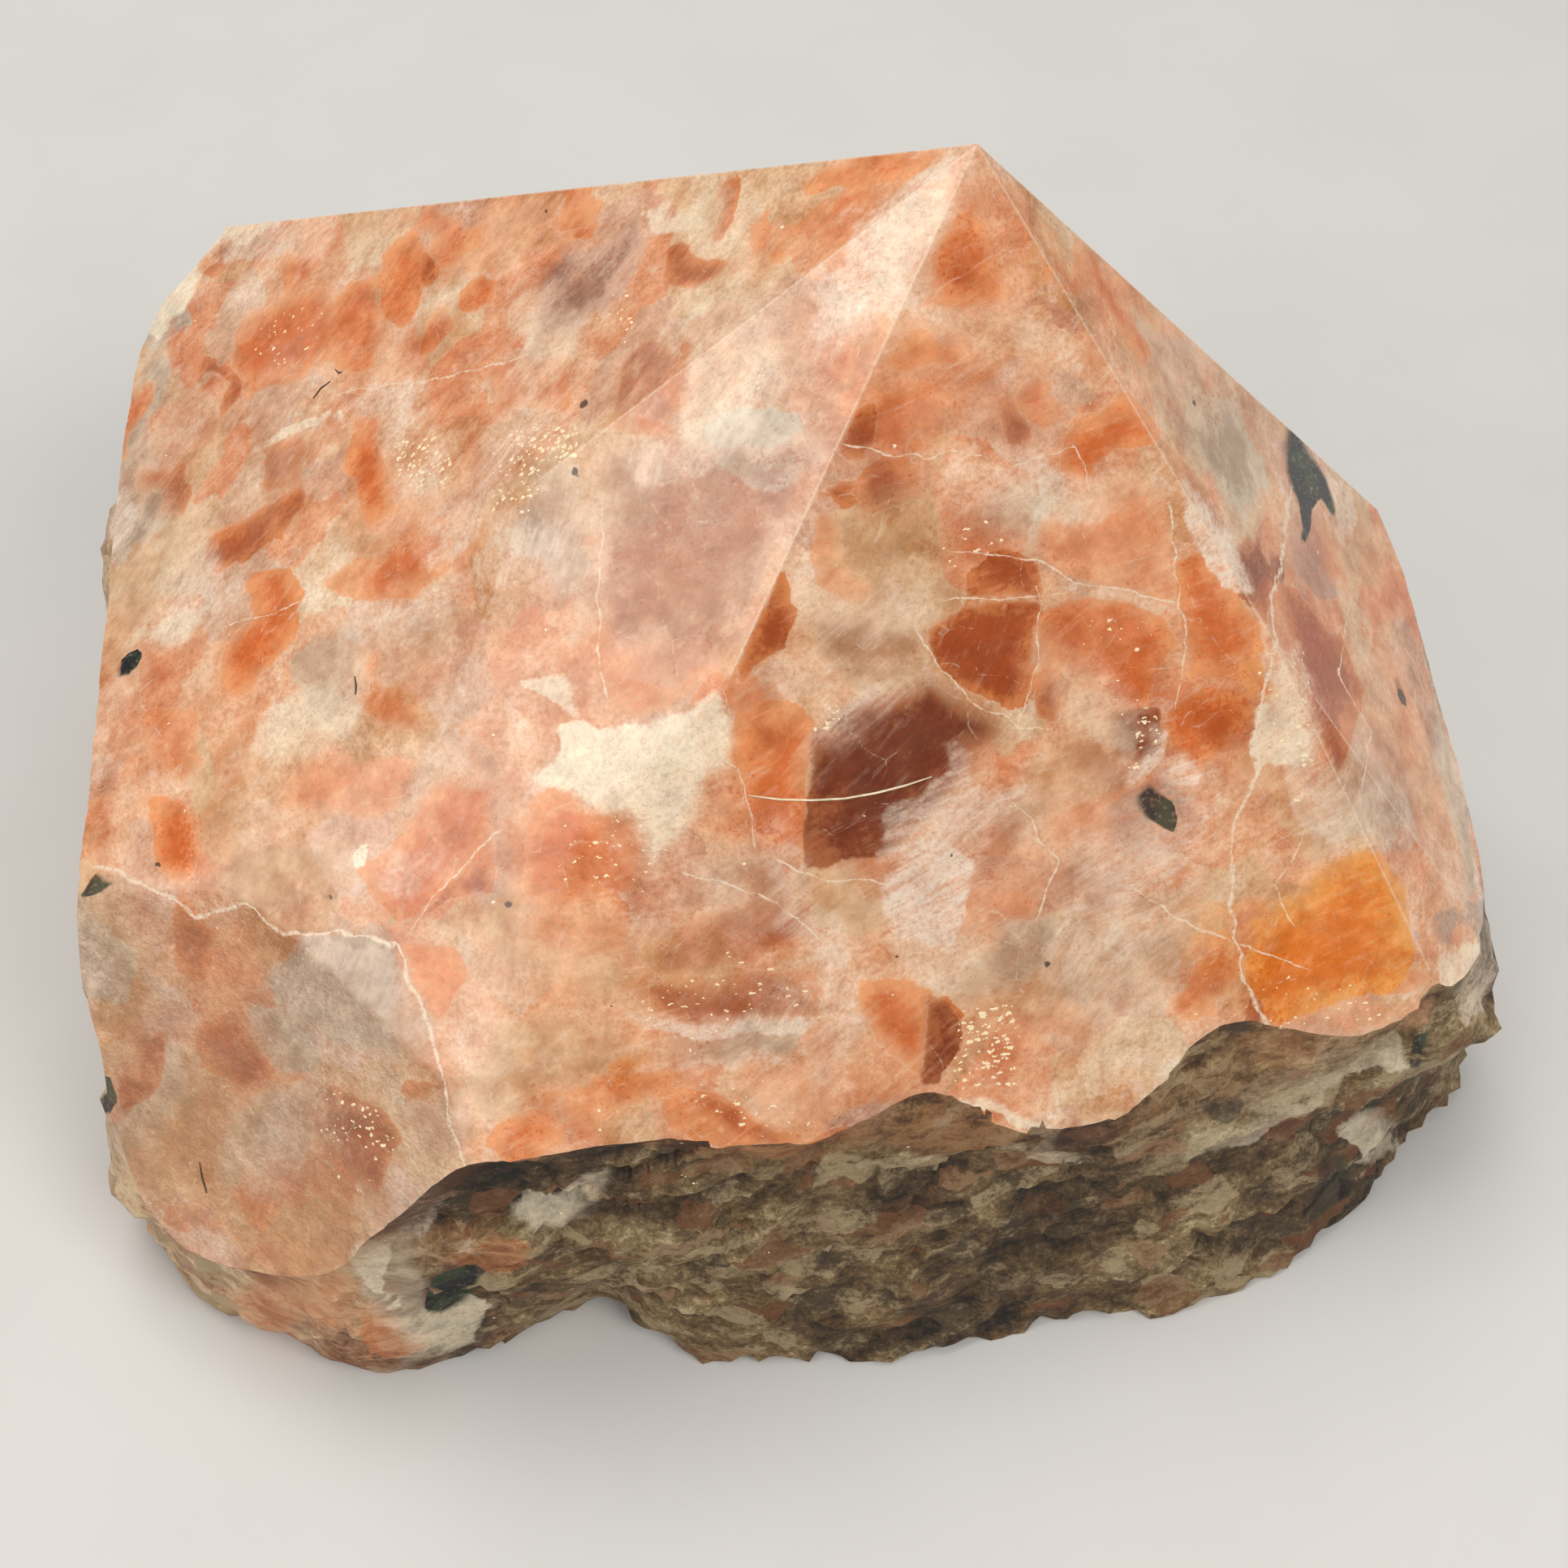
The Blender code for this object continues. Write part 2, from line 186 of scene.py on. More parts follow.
# Grains and inclusions by colour. The middle of each is where the photo shows it.
GRAINS = {
    "salmon": {
        "left_upper": grain(410, 400, 2.4, 3.0, 10, 1.4, 0.8),
        "left_row": grain(470, 640, 3.0, 2.0, 30, 1.4, 0.6),
        "left_top": grain(620, 260, 4.0, 1.4, 5, 1.2, 0.6),
        "left_low_peach": grain(240, 1060, 3.2, 2.2, -10, 1.2, 0.7),
        "left_low_wide": outline(0.5, 0.85, (352, 990), (375, 935), (415, 920), (440, 928), (505, 940),
            (492, 985), (440, 1012), (395, 1000)),
        "left_middle": grain(560, 640, 2.8, 3.0, 30, 1.6, 0.5),
        "below_cream": grain(660, 1060, 3.0, 3.6, 0, 1.2, 0.7),
        "worn_edge_low": grain(700, 1160, 5.0, 3.0, 10, 1.8, 0.6),
        "left_front_pink": outline(0.6, 0.8, (736, 795), (800, 768), (850, 788), (892, 800), (880, 830),
            (840, 862), (790, 882), (748, 862)),
        "left_front_streaks": grain(820, 730, 4.6, 2.2, 5, 1.6, 0.5),
        "front_top": grain(1180, 290, 2.6, 3.6, 60, 1.6, 0.6),
        "front_upper": grain(1150, 450, 4.0, 4.5, 70, 2.0, 0.6),
        "front_right_large": outline(0.7, 0.9, (1285, 650), (1330, 605), (1400, 590), (1440, 630),
            (1456, 715), (1440, 745), (1380, 727), (1320, 712), (1290, 690)),
        "front_left_edge": grain(950, 960, 2.8, 4.6, 0, 1.0, 0.7),
        "front_middle_low": grain(1230, 1110, 2.8, 2.4, 0, 1.6, 0.7),
        "front_middle_right": grain(1340, 1000, 3.4, 3.0, 30, 1.6, 0.6),
        "front_low": grain(1260, 1240, 3.4, 3.2, 0, 1.8, 0.6),
        "front_right_peach": grain(1650, 1240, 4.0, 1.4, -5, 1.0, 0.6),
        "cream_band_speckles": grain(1580, 960, 2.0, 2.3, -50, 1.0, 0.7),
        "right_upper": grain(1420, 420, 5.4, 2.0, -52, 1.4, 0.7),
        "right_middle": grain(1650, 700, 2.4, 3.4, -50, 1.4, 0.7),
        "right_low": grain(1730, 900, 2.0, 5.0, 25, 1.6, 0.6),
        "shoulder_top": grain(270, 1190, 3.4, 3.0, -20, 1.4, 0.6),
        "shoulder_middle": grain(330, 1330, 4.6, 3.6, -30, 2.0, 0.6),
        "shoulder_low": grain(250, 1430, 3.6, 3.4, -60, 1.8, 0.5),
        "foot_top": grain(380, 1560, 3.6, 3.6, -40, 1.6, 0.6),
        "foot_left": grain(330, 1620, 2.6, 3.0, 0, 1.4, 0.5),
        "lip_left": grain(760, 1330, 4.8, 2.0, 15, 1.4, 0.6),
        "lip_middle": grain(1000, 1350, 4.2, 1.8, 15, 1.4, 0.6),
    },
    "tan": {
        "front_low": grain(1280, 1190, 6.0, 3.6, 20, 1.6, 0.65),
        "front_low_middle": grain(1040, 1120, 3.4, 2.0, 0, 0.8, 0.7),
        "front_middle": grain(1090, 800, 3.6, 3.2, 30, 1.6, 0.8),
        "front_upper": grain(1060, 690, 3.2, 3.0, 30, 1.4, 0.75),
        "front_right_low": grain(1430, 1140, 4.0, 2.6, 30, 1.4, 0.6),
        "front_mid_right": grain(1290, 960, 4.2, 2.0, 30, 1.4, 0.5),
        "worn_middle": grain(760, 1200, 5.0, 2.4, 5, 1.6, 0.5),
        "worn_low": grain(700, 1290, 5.0, 2.4, 8, 1.6, 0.6),
        "worn_high": grain(620, 1150, 1.6, 3.4, 0, 1.0, 0.5),
        "left_low": grain(350, 1080, 4.2, 2.2, -20, 1.2, 0.6),
        "left_rim": grain(270, 1000, 2.4, 4.0, 0, 1.2, 0.5),
        "left_middle": grain(500, 800, 4.0, 2.2, 15, 1.4, 0.4),
        "shoulder_left": grain(140, 1210, 3.4, 6.0, -8, 1.4, 0.8),
        "shoulder_middle": grain(230, 1380, 5.0, 5.0, -40, 2.0, 0.6),
        "shoulder_low": grain(340, 1430, 3.6, 4.0, -40, 1.6, 0.6),
        "foot": grain(400, 1540, 5.0, 4.0, -40, 1.8, 0.5),
        "right_upper": grain(1530, 560, 3.6, 4.4, 20, 1.2, 0.6),
        "right_middle": grain(1690, 690, 2.0, 3.0, -50, 1.2, 0.4),
        "left_edge": grain(150, 700, 2.0, 8.0, -8, 1.2, 0.6),
        "right_of_lens": outline(0.6, 0.7, (1640, 560), (1680, 598), (1702, 660), (1692, 722), (1655, 705),
            (1632, 650)),
        "corner_peach": grain(1600, 1010, 2.6, 4.6, 33, 1.4, 0.6),
    },
    "mauve": {
        "left_top_large": outline(0.5, 1.0, (678, 335), (700, 312), (755, 298), (785, 262), (782, 325),
            (762, 370), (722, 390), (700, 412), (655, 416), (668, 385), (672, 352)),
        "left_top_stripe": grain(765, 330, 0.8, 3.4, -10, 0.6, 0.7),
        "left_middle": grain(600, 960, 1.0, 3.0, 0, 0.8, 0.5),
        "below_left_middle": grain(612, 1065, 0.8, 3.3, 0, 0.5, 0.6),
        "left_front_upper": grain(850, 635, 3.8, 1.8, 5, 0.8, 0.6),
        "left_front_wide": outline(1.0, 0.6, (745, 570), (860, 528), (985, 560), (968, 640), (937, 720),
            (906, 785), (840, 800), (760, 790), (742, 700)),
        "left_front_low": grain(870, 790, 2.8, 1.6, 10, 1.2, 0.5),
        "front_low": grain(1330, 1090, 2.6, 2.0, 20, 1.2, 0.6),
        "front_middle": grain(1250, 1010, 3.2, 2.4, 35, 1.6, 0.4),
        "front_above_maroon": grain(1060, 800, 3.2, 2.6, 40, 1.4, 0.45),
        "right_low": grain(1700, 965, 2.2, 2.4, 40, 1.2, 0.5),
        "shoulder_pink": grain(530, 1385, 2.2, 2.0, -60, 1.0, 0.5),
        "shoulder_left": grain(180, 1330, 1.6, 3.0, -20, 1.2, 0.5),
        "under_lip": grain(1060, 1378, 3.6, 1.1, 3, 0.4, 0.8),
    },
    "grey": {
        "left_edge": grain(190, 480, 1.0, 5.0, -8, 0.8, 0.7),
        "left_edge_low": grain(165, 640, 1.3, 4.6, -8, 1.0, 0.7),
        "left_speck": grain(222, 390, 0.5, 1.3, 0, 0.3, 0.9),
        "left_middle": grain(400, 850, 2.4, 3.0, -10, 1.0, 0.6),
        "left_front_low": grain(665, 650, 3.0, 2.2, 10, 1.2, 0.55),
        "left_small_grey": grain(710, 700, 2.2, 2.4, 0, 1.2, 0.5),
        "polygon": outline(0.25, 0.9, (865, 515), (905, 500), (950, 496), (985, 512), (982, 530), (960, 548),
            (915, 553), (878, 545)),
        "below_polygon": grain(940, 580, 3.2, 2.0, -8, 1.0, 0.5),
        "front_beige": grain(910, 1075, 3.8, 2.0, -15, 1.4, 0.4),
        "front_olive": grain(1250, 1185, 3.4, 2.2, 25, 1.2, 0.5),
        "front_low_grey": grain(905, 1290, 3.0, 1.0, 5, 0.8, 0.6),
        "right_upper": grain(1525, 560, 3.2, 4.0, 20, 1.4, 0.75),
        "right_upper_thin": grain(1450, 440, 3.6, 1.0, -50, 0.9, 0.5),
        "right_beige": grain(1725, 1015, 1.8, 2.6, 30, 1.2, 0.5),
        "right_rim": outline(0.5, 0.7, (1770, 880), (1790, 910), (1812, 1000), (1818, 1080), (1800, 1120),
            (1790, 1010), (1772, 940)),
        "shoulder_left": grain(130, 1185, 2.8, 3.6, 0, 0.9, 0.7),
        "shoulder_top": outline(0.6, 0.75, (325, 1202), (370, 1162), (440, 1158), (490, 1170), (482, 1205),
            (485, 1250), (440, 1275), (392, 1270), (342, 1240)),
        "shoulder_top_dark": grain(440, 1262, 2.0, 1.5, 10, 0.8, 0.8),
        "shoulder_olive": outline(0.4, 0.7, (300, 1222), (342, 1242), (385, 1262), (396, 1330), (342, 1325),
            (312, 1282)),
        "shoulder_low": grain(330, 1425, 2.8, 2.4, -30, 1.2, 0.5),
        "left_wall_low": grain(150, 1400, 1.6, 4.0, -15, 1.0, 0.5),
        "foot_lump": grain(468, 1572, 2.8, 3.0, 0, 0.7, 0.6),
        "front_speckled": grain(1255, 640, 2.6, 1.6, 0, 1.2, 0.5),
    },
    "orange": {
        "left_top_first": grain(365, 335, 2.7, 1.7, 12, 0.8, 0.7),
        "left_top_second": grain(555, 285, 2.6, 1.1, 5, 0.7, 0.7),
        "left_lens": outline(0.25, 0.95, (470, 312), (510, 286), (530, 314), (540, 330), (520, 352),
            (505, 380), (496, 398), (476, 398), (466, 352)),
        "left_of_lens": outline(0.5, 0.8, (430, 352), (464, 340), (468, 385), (455, 436), (430, 450),
            (410, 430), (406, 382)),
        "left_upper_block": outline(0.9, 0.7, (300, 402), (345, 375), (400, 358), (428, 420), (400, 452),
            (370, 470), (312, 482), (286, 450)),
        "left_bright_rim": outline(0.25, 0.9, (570, 350), (596, 330), (610, 340), (606, 372), (582, 381),
            (566, 375)),
        "left_wedge": grain(535, 412, 1.7, 2.7, -20, 0.6, 0.75),
        "left_bright": grain(425, 420, 1.4, 1.8, 20, 0.9, 0.7),
        "left_wide_tan": outline(0.5, 0.7, (600, 456), (650, 440), (700, 442), (700, 505), (640, 500),
            (612, 510)),
        "left_column": outline(0.5, 0.9, (436, 520), (465, 515), (470, 560), (490, 592), (484, 620),
            (456, 645), (440, 600), (426, 562)),
        "left_wedge_low": outline(0.6, 0.7, (405, 722), (440, 690), (500, 660), (545, 640), (550, 690),
            (500, 740), (450, 742), (420, 736)),
        "left_deep_column": outline(0.5, 0.95, (308, 702), (355, 700), (376, 726), (362, 790), (322, 830),
            (300, 856), (275, 850), (278, 800), (312, 760)),
        "left_red": grain(285, 665, 2.1, 1.3, 15, 0.6, 0.75),
        "left_rim_tan": grain(215, 925, 3.0, 1.7, -5, 1.0, 0.6),
        "left_rim_bright": outline(0.5, 0.9, (186, 990), (230, 985), (242, 1050), (216, 1080), (184, 1060)),
        "left_tan": grain(480, 870, 2.1, 1.6, -10, 0.8, 0.6),
        "left_low_bright": outline(0.5, 0.75, (495, 1020), (530, 962), (600, 975), (602, 1030), (560, 1080),
            (520, 1130), (490, 1140), (450, 1112), (440, 1070), (480, 1050)),
        "below_cream": outline(0.8, 0.7, (656, 980), (690, 965), (740, 985), (770, 1020), (776, 1060),
            (740, 1085), (700, 1105), (650, 1100), (646, 1040)),
        "left_ridge_spot": grain(705, 245, 1.7, 0.7, 5, 0.4, 0.8),
        "left_ridge_upright": grain(935, 290, 0.8, 2.0, -10, 0.5, 0.7),
        "left_apex": grain(1110, 210, 3.2, 1.1, 8, 0.5, 0.85),
        "left_apex_low": grain(1010, 275, 3.6, 1.0, 35, 0.8, 0.5),
        "left_front_orange": grain(1030, 440, 2.7, 2.0, 30, 1.2, 0.4),
        "front_top_first": grain(1140, 250, 1.6, 1.5, 50, 0.8, 0.6),
        "front_top_second": grain(1195, 340, 3.0, 1.7, 20, 0.8, 0.75),
        "front_upper_spot": grain(1140, 430, 1.8, 1.2, 20, 0.7, 0.7),
        "front_upper_right": grain(1280, 500, 1.8, 1.4, -20, 0.7, 0.7),
        "front_edge_deep": grain(1382, 530, 1.9, 2.5, -35, 0.6, 0.9),
        "front_tan": outline(0.7, 0.8, (1288, 745), (1340, 735), (1400, 750), (1440, 775), (1455, 802),
            (1430, 832), (1400, 870), (1370, 870), (1330, 855), (1310, 840), (1290, 815)),
        "front_right_lens": outline(0.4, 0.9, (1455, 695), (1478, 678), (1510, 702), (1545, 758), (1553, 820),
            (1510, 842), (1470, 836), (1459, 790)),
        "front_right_low_lens": outline(0.3, 0.9, (1438, 874), (1482, 850), (1533, 862), (1537, 886),
            (1500, 926), (1468, 960), (1453, 936), (1437, 902)),
        "front_left_tan": grain(1015, 690, 1.4, 1.8, 30, 0.6, 0.6),
        "front_left_column": outline(0.3, 0.85, (897, 882), (915, 860), (990, 880), (1001, 902), (998, 1050),
            (936, 1035), (922, 1000), (912, 946), (894, 935)),
        "front_left_brown": grain(925, 862, 1.7, 1.8, 20, 0.8, 0.7),
        "front_left_low": grain(700, 1055, 3.2, 3.0, 0, 1.2, 0.5),
        "front_low_first": outline(0.9, 0.85, (1060, 1215), (1100, 1205), (1150, 1220), (1152, 1290),
            (1140, 1322), (1090, 1290), (1060, 1252)),
        "front_low_left": grain(640, 1400, 2.3, 1.2, 8, 0.5, 0.8),
        "front_low_left_second": grain(770, 1345, 3.4, 1.4, 12, 1.0, 0.6),
        "front_low_middle": grain(880, 1372, 4.4, 1.5, 5, 0.8, 0.8),
        "front_low_right": grain(1495, 1210, 1.9, 2.4, -10, 0.4, 0.7),
        "front_low_right_tan": grain(1530, 1150, 1.9, 2.3, 10, 0.8, 0.6),
        "front_corner": grain(1730, 1205, 1.6, 1.3, -30, 0.5, 0.7),
        "right_streaks": grain(1700, 745, 2.2, 2.4, -50, 1.0, 0.6),
        "right_top_streak": grain(1380, 390, 5.6, 0.9, -53, 0.6, 0.7),
        "shoulder_column": outline(0.4, 0.8, (500, 1160), (560, 1170), (572, 1200), (550, 1240), (530, 1256),
            (520, 1230), (505, 1210)),
        "lip_right": grain(1580, 1286, 2.4, 0.8, -3, 0.4, 0.7),
        "foot_tan": grain(475, 1642, 2.2, 1.1, 5, 0.5, 0.6),
        "foot_left": grain(320, 1480, 1.6, 2.6, -25, 0.8, 0.6),
        "maroon_side": grain(1040, 1010, 1.6, 2.6, 20, 0.9, 0.6),
        "front_upper_left": grain(1100, 520, 2.2, 2.2, 60, 1.0, 0.5),
    },
    "amber": {
        "corner_large": outline(0.7, 0.9, (1535, 1185), (1570, 1122), (1620, 1082), (1690, 1060),
            (1724, 1075), (1732, 1130), (1745, 1180), (1715, 1215), (1640, 1238), (1575, 1262), (1530, 1240)),
        "corner_bright": grain(1690, 1088, 1.6, 1.5, 40, 0.6, 0.9),
        "corner_low": grain(1575, 1170, 1.9, 1.9, 30, 0.8, 0.75),
        "lip_left": grain(770, 1320, 2.2, 1.6, 10, 1.0, 0.5),
        "front_low": grain(1500, 1170, 1.6, 1.6, 0, 0.8, 0.4),
        "beside_crack": grain(1547, 830, 0.8, 0.7, 0, 0.4, 0.6),
    },
    "rust": {
        "left_corner": outline(0.4, 0.8, (235, 327), (255, 306), (285, 300), (285, 320), (256, 336)),
        "left_fold": outline(0.2, 0.8, (516, 310), (535, 312), (546, 330), (530, 346), (518, 340)),
        "left_middle": outline(0.5, 0.65, (325, 556), (370, 541), (385, 560), (376, 600), (330, 605),
            (322, 580)),
        "left_slanting": outline(0.4, 0.85, (256, 668), (300, 642), (375, 602), (386, 620), (345, 655),
            (316, 690), (270, 700), (250, 690)),
        "left_small": grain(217, 600, 0.9, 1.8, -25, 0.6, 0.7),
        "left_red_streak": grain(288, 480, 0.5, 1.0, -20, 0.25, 0.8),
        "left_top_brown": grain(870, 335, 1.9, 1.3, 0, 0.5, 0.8),
        "left_top_red": grain(903, 235, 1.0, 0.5, 40, 0.25, 0.9),
        "left_ridge_streak": grain(895, 398, 4.6, 0.55, 35, 0.4, 0.55),
        "left_ridge_streak_low": grain(810, 470, 3.0, 0.6, 38, 0.4, 0.5),
        "left_low_wedge": outline(0.25, 0.7, (602, 1032), (606, 1092), (570, 1096), (520, 1132), (560, 1080)),
        "front_top_brown": grain(1195, 345, 2.0, 0.8, 15, 0.7, 0.45),
        "front_upper_left": grain(1055, 540, 0.9, 1.7, -30, 0.5, 0.8),
        "front_upper_brown": grain(1078, 597, 1.8, 1.3, 5, 0.6, 0.75),
        "front_upper_dark": grain(1040, 610, 1.5, 0.6, 5, 0.35, 0.9),
        "front_upper_right": grain(1252, 530, 1.3, 0.8, -20, 0.5, 0.6),
        "lens_top": outline(0.35, 0.9, (1198, 702), (1222, 681), (1250, 681), (1278, 698), (1285, 734),
            (1188, 737)),
        "lens_low": outline(0.3, 0.95, (1143, 776), (1165, 760), (1190, 743), (1290, 739), (1282, 790),
            (1270, 850), (1262, 872), (1240, 873), (1213, 862), (1180, 845), (1154, 825), (1145, 800)),
        "lens_foot": outline(0.3, 0.9, (1285, 820), (1302, 830), (1322, 846), (1312, 870), (1300, 892),
            (1276, 886), (1268, 865)),
        "lens_right": grain(1310, 790, 2.2, 2.2, 0, 1.0, 0.5),
        "edge_strip": outline(0.3, 0.95, (968, 706), (974, 745), (986, 752), (976, 776), (968, 800),
            (940, 815), (916, 840), (903, 845), (920, 800), (942, 750)),
        "front_left_brown": grain(940, 900, 1.6, 2.4, 0, 1.2, 0.45),
        "below_worn_edge": outline(1.3, 0.45, (840, 1132), (900, 1115), (1000, 1112), (985, 1150),
            (925, 1188), (810, 1200), (800, 1170)),
        "right_lens_shade": grain(1500, 905, 1.8, 1.8, 0, 0.9, 0.45),
        "speckled_wide": outline(0.9, 0.7, (800, 1206), (900, 1200), (1000, 1194), (1004, 1254), (930, 1262),
            (860, 1263), (806, 1250)),
        "deep_column": outline(0.35, 1.0, (1148, 1226), (1168, 1228), (1187, 1246), (1181, 1290),
            (1162, 1336), (1144, 1346), (1147, 1290)),
        "lip_middle": grain(905, 1385, 2.8, 0.9, 3, 0.5, 0.55),
        "corner_small": grain(1545, 1246, 0.8, 1.0, 0, 0.3, 0.8),
        "right_blade": outline(0.6, 0.85, (1572, 720), (1600, 730), (1630, 768), (1657, 795), (1684, 842),
            (1675, 882), (1668, 930), (1650, 948), (1625, 915), (1604, 860), (1588, 800)),
        "right_wedge": outline(0.3, 0.8, (1533, 648), (1562, 688), (1570, 722), (1558, 768), (1543, 742),
            (1527, 690)),
        "shoulder_small": outline(0.5, 0.7, (215, 1102), (240, 1132), (266, 1142), (262, 1180), (240, 1220),
            (214, 1190)),
        "shoulder_wide": outline(0.6, 0.7, (240, 1265), (290, 1246), (312, 1282), (340, 1330), (300, 1346),
            (250, 1322)),
        "shoulder_left": grain(187, 1312, 1.2, 1.5, 0, 0.5, 0.7),
        "shoulder_speckled": grain(445, 1405, 3.1, 4.0, 10, 0.9, 0.8),
        "shoulder_red": grain(508, 1345, 1.4, 0.6, 30, 0.5, 0.8),
        "shoulder_low": grain(215, 1503, 2.2, 1.3, -25, 0.6, 0.7),
        "under_lip_streak": grain(1000, 1410, 5.2, 0.5, 4, 0.3, 0.8),
        "front_left_wall": grain(620, 1560, 2.6, 1.4, 10, 0.8, 0.5),
    },
    "maroon": {
        "large": outline(0.8, 0.95, (1003, 960), (1003, 912), (1036, 880), (1100, 862), (1150, 846),
            (1190, 870), (1222, 890), (1236, 902), (1202, 925), (1190, 950), (1166, 985), (1150, 1005),
            (1120, 1030), (1100, 1050), (1060, 1062), (1000, 1068), (998, 1020)),
        "front_right": outline(0.5, 0.9, (1370, 876), (1424, 870), (1430, 900), (1424, 930), (1396, 940),
            (1368, 920)),
        "front_right_low": grain(1375, 960, 1.8, 2.0, 0, 1.2, 0.5),
        "right_thin": grain(1553, 692, 0.7, 2.3, 5, 0.3, 0.85),
        "left_top": grain(690, 350, 1.2, 2.0, -20, 0.9, 0.35),
        "deep_column": outline(0.3, 0.9, (1146, 1232), (1168, 1234), (1184, 1258), (1178, 1300), (1160, 1340),
            (1146, 1344), (1147, 1290)),
    },
    "veil": {
        "left_rim": grain(315, 300, 2.8, 0.9, 8, 0.6, 0.7),
        "left_upper": grain(470, 490, 3.4, 1.0, 20, 0.8, 0.6),
        "left_streaks": grain(590, 600, 1.6, 6.0, -50, 1.4, 0.6),
        "left_middle": grain(520, 760, 4.4, 1.6, 40, 1.4, 0.55),
        "left_low": grain(500, 1090, 1.2, 3.4, -45, 0.8, 0.4),
        "middle_arcs": grain(655, 680, 3.8, 2.2, 20, 1.2, 0.5),
        "left_edge": grain(225, 740, 2.4, 2.4, 30, 1.4, 0.6),
        # The pale haze on the upper left_front facet: partly milky veils, partly a painted sheen.
        "top_of_left_front": grain(1090, 310, 5.6, 1.8, 55, 1.2, 0.7),
        "left_front_misty": grain(830, 560, 4.6, 2.8, 30, 2.0, 0.4),
        "front_upper_mist": grain(1250, 590, 4.4, 1.6, 0, 1.4, 0.4),
        "front_mist": grain(1060, 760, 4.0, 2.4, 40, 1.6, 0.2),
        "above_maroon": grain(1060, 868, 3.0, 1.0, 35, 1.0, 0.6),
        "fibrous": outline(0.4, 0.95, (1135, 1030), (1170, 1030), (1196, 1060), (1186, 1130), (1180, 1162),
            (1150, 1166), (1110, 1150), (1094, 1120), (1096, 1090), (1116, 1060)),
        "fibrous_top": grain(1200, 1000, 1.4, 4.0, -48, 1.0, 0.6),
        "front_right_streaks": grain(1340, 1160, 5.6, 2.6, 40, 1.8, 0.5),
        "front_right_upper_streaks": grain(1430, 1050, 4.2, 2.2, 40, 1.4, 0.5),
        "white_lilac": grain(1418, 938, 1.1, 1.4, 0, 0.5, 0.9),
        "white_lilac_side": grain(1445, 952, 1.3, 0.9, -20, 0.6, 0.8),
        "white_band": outline(0.45, 0.75, (778, 1254), (850, 1260), (1000, 1254), (1078, 1262), (1000, 1274),
            (850, 1276)),
        "white_band_low": grain(900, 1312, 5.0, 0.35, 3, 0.5, 0.5),
        "right_fibrous": outline(0.4, 0.95, (1457, 598), (1480, 616), (1510, 650), (1538, 700), (1543, 727),
            (1514, 724), (1489, 690), (1467, 645)),
        "right_pale_yellow": grain(1660, 622, 1.6, 2.8, 20, 1.0, 0.7),
        "right_rim_skin": outline(0.5, 0.85, (1815, 1150), (1850, 1130), (1852, 1200), (1830, 1240),
            (1800, 1262), (1790, 1240)),
        "right_edge": outline(0.4, 0.9, (1812, 1040), (1828, 1060), (1838, 1120), (1836, 1180), (1822, 1165),
            (1812, 1100)),
        "corner_band": grain(1630, 990, 2.0, 6.0, 33, 1.2, 0.5),
        "shoulder_top": grain(400, 1180, 4.4, 1.4, -4, 0.8, 0.7),
        "shoulder_middle": grain(370, 1370, 2.4, 3.6, -40, 1.6, 0.5),
        "shoulder_lip": grain(505, 1500, 1.8, 1.3, 0, 0.8, 0.6),
        "left_wall": grain(110, 1180, 0.7, 3.4, 0, 0.5, 0.7),
        "orange_sides": grain(1010, 1140, 1.8, 4.0, 15, 1.4, 0.5),
        "low_middle_streaks": grain(1030, 1250, 2.0, 4.0, 40, 1.4, 0.4),
    },
    "cream": {
        "left_corner": grain(300, 292, 2.2, 0.6, 6, 0.4, 0.7),
        "left_lump": grain(193, 402, 0.6, 0.8, 0, 0.3, 0.8),
        "left_top": grain(640, 390, 1.2, 2.9, -15, 1.6, 0.4),
        "left_white_streak": grain(350, 533, 1.8, 0.3, 8, 0.3, 0.7),
        "left_top_light": grain(840, 275, 2.2, 1.0, 5, 0.7, 0.6),
        "crack_middle": outline(0.25, 0.8, (1550, 850), (1560, 880), (1551, 960), (1543, 905)),
        "left_edge": grain(210, 785, 2.1, 1.2, 15, 0.7, 0.6),
        "left_patch": outline(1.4, 0.55, (318, 906), (340, 866), (372, 846), (410, 840), (440, 872),
            (430, 915), (385, 930), (340, 936), (320, 930)),
        "left_glint": grain(443, 1055, 0.35, 0.8, -20, 0.2, 0.9),
        # The pale patches on the upper left_front facet: partly cream grains, partly a painted sheen.
        "left_front_top": grain(1105, 300, 2.2, 1.8, 55, 1.0, 0.55),
        "left_front_bright": grain(930, 430, 3.8, 3.0, 30, 2.6, 0.5),
        "left_front_white": grain(940, 480, 1.4, 0.6, 0, 0.5, 0.4),
        "left_front_wedge": outline(0.3, 0.65, (640, 838), (706, 825), (716, 871)),
        "bright_patch": outline(0.6, 0.85, (698, 888), (724, 880), (740, 895), (800, 894), (806, 884),
            (840, 880), (882, 862), (894, 900), (890, 946), (870, 950), (850, 1000), (806, 1050), (790, 1030),
            (770, 1000), (720, 990), (700, 966), (650, 956), (690, 925)),
        "front_cream": grain(1330, 838, 2.1, 1.5, -10, 1.4, 0.35),
        "front_white": grain(1300, 620, 2.0, 0.8, 10, 0.8, 0.4),
        "corner_patch": outline(0.7, 0.65, (1561, 828), (1583, 821), (1600, 868), (1620, 925), (1604, 940),
            (1560, 934), (1543, 895), (1557, 865)),
        "foot_lump": grain(460, 1550, 1.8, 1.8, -30, 0.5, 0.7),
        "foot_rough": grain(556, 1650, 3.0, 1.7, 0, 0.6, 0.7),
        "right_rough": grain(1815, 1190, 1.2, 1.9, -10, 0.5, 0.7),
        "wall_lump": grain(680, 1500, 3.4, 1.5, 5, 0.6, 0.6),
        "wall_flake": grain(1290, 1425, 3.4, 0.5, 5, 0.3, 0.7),
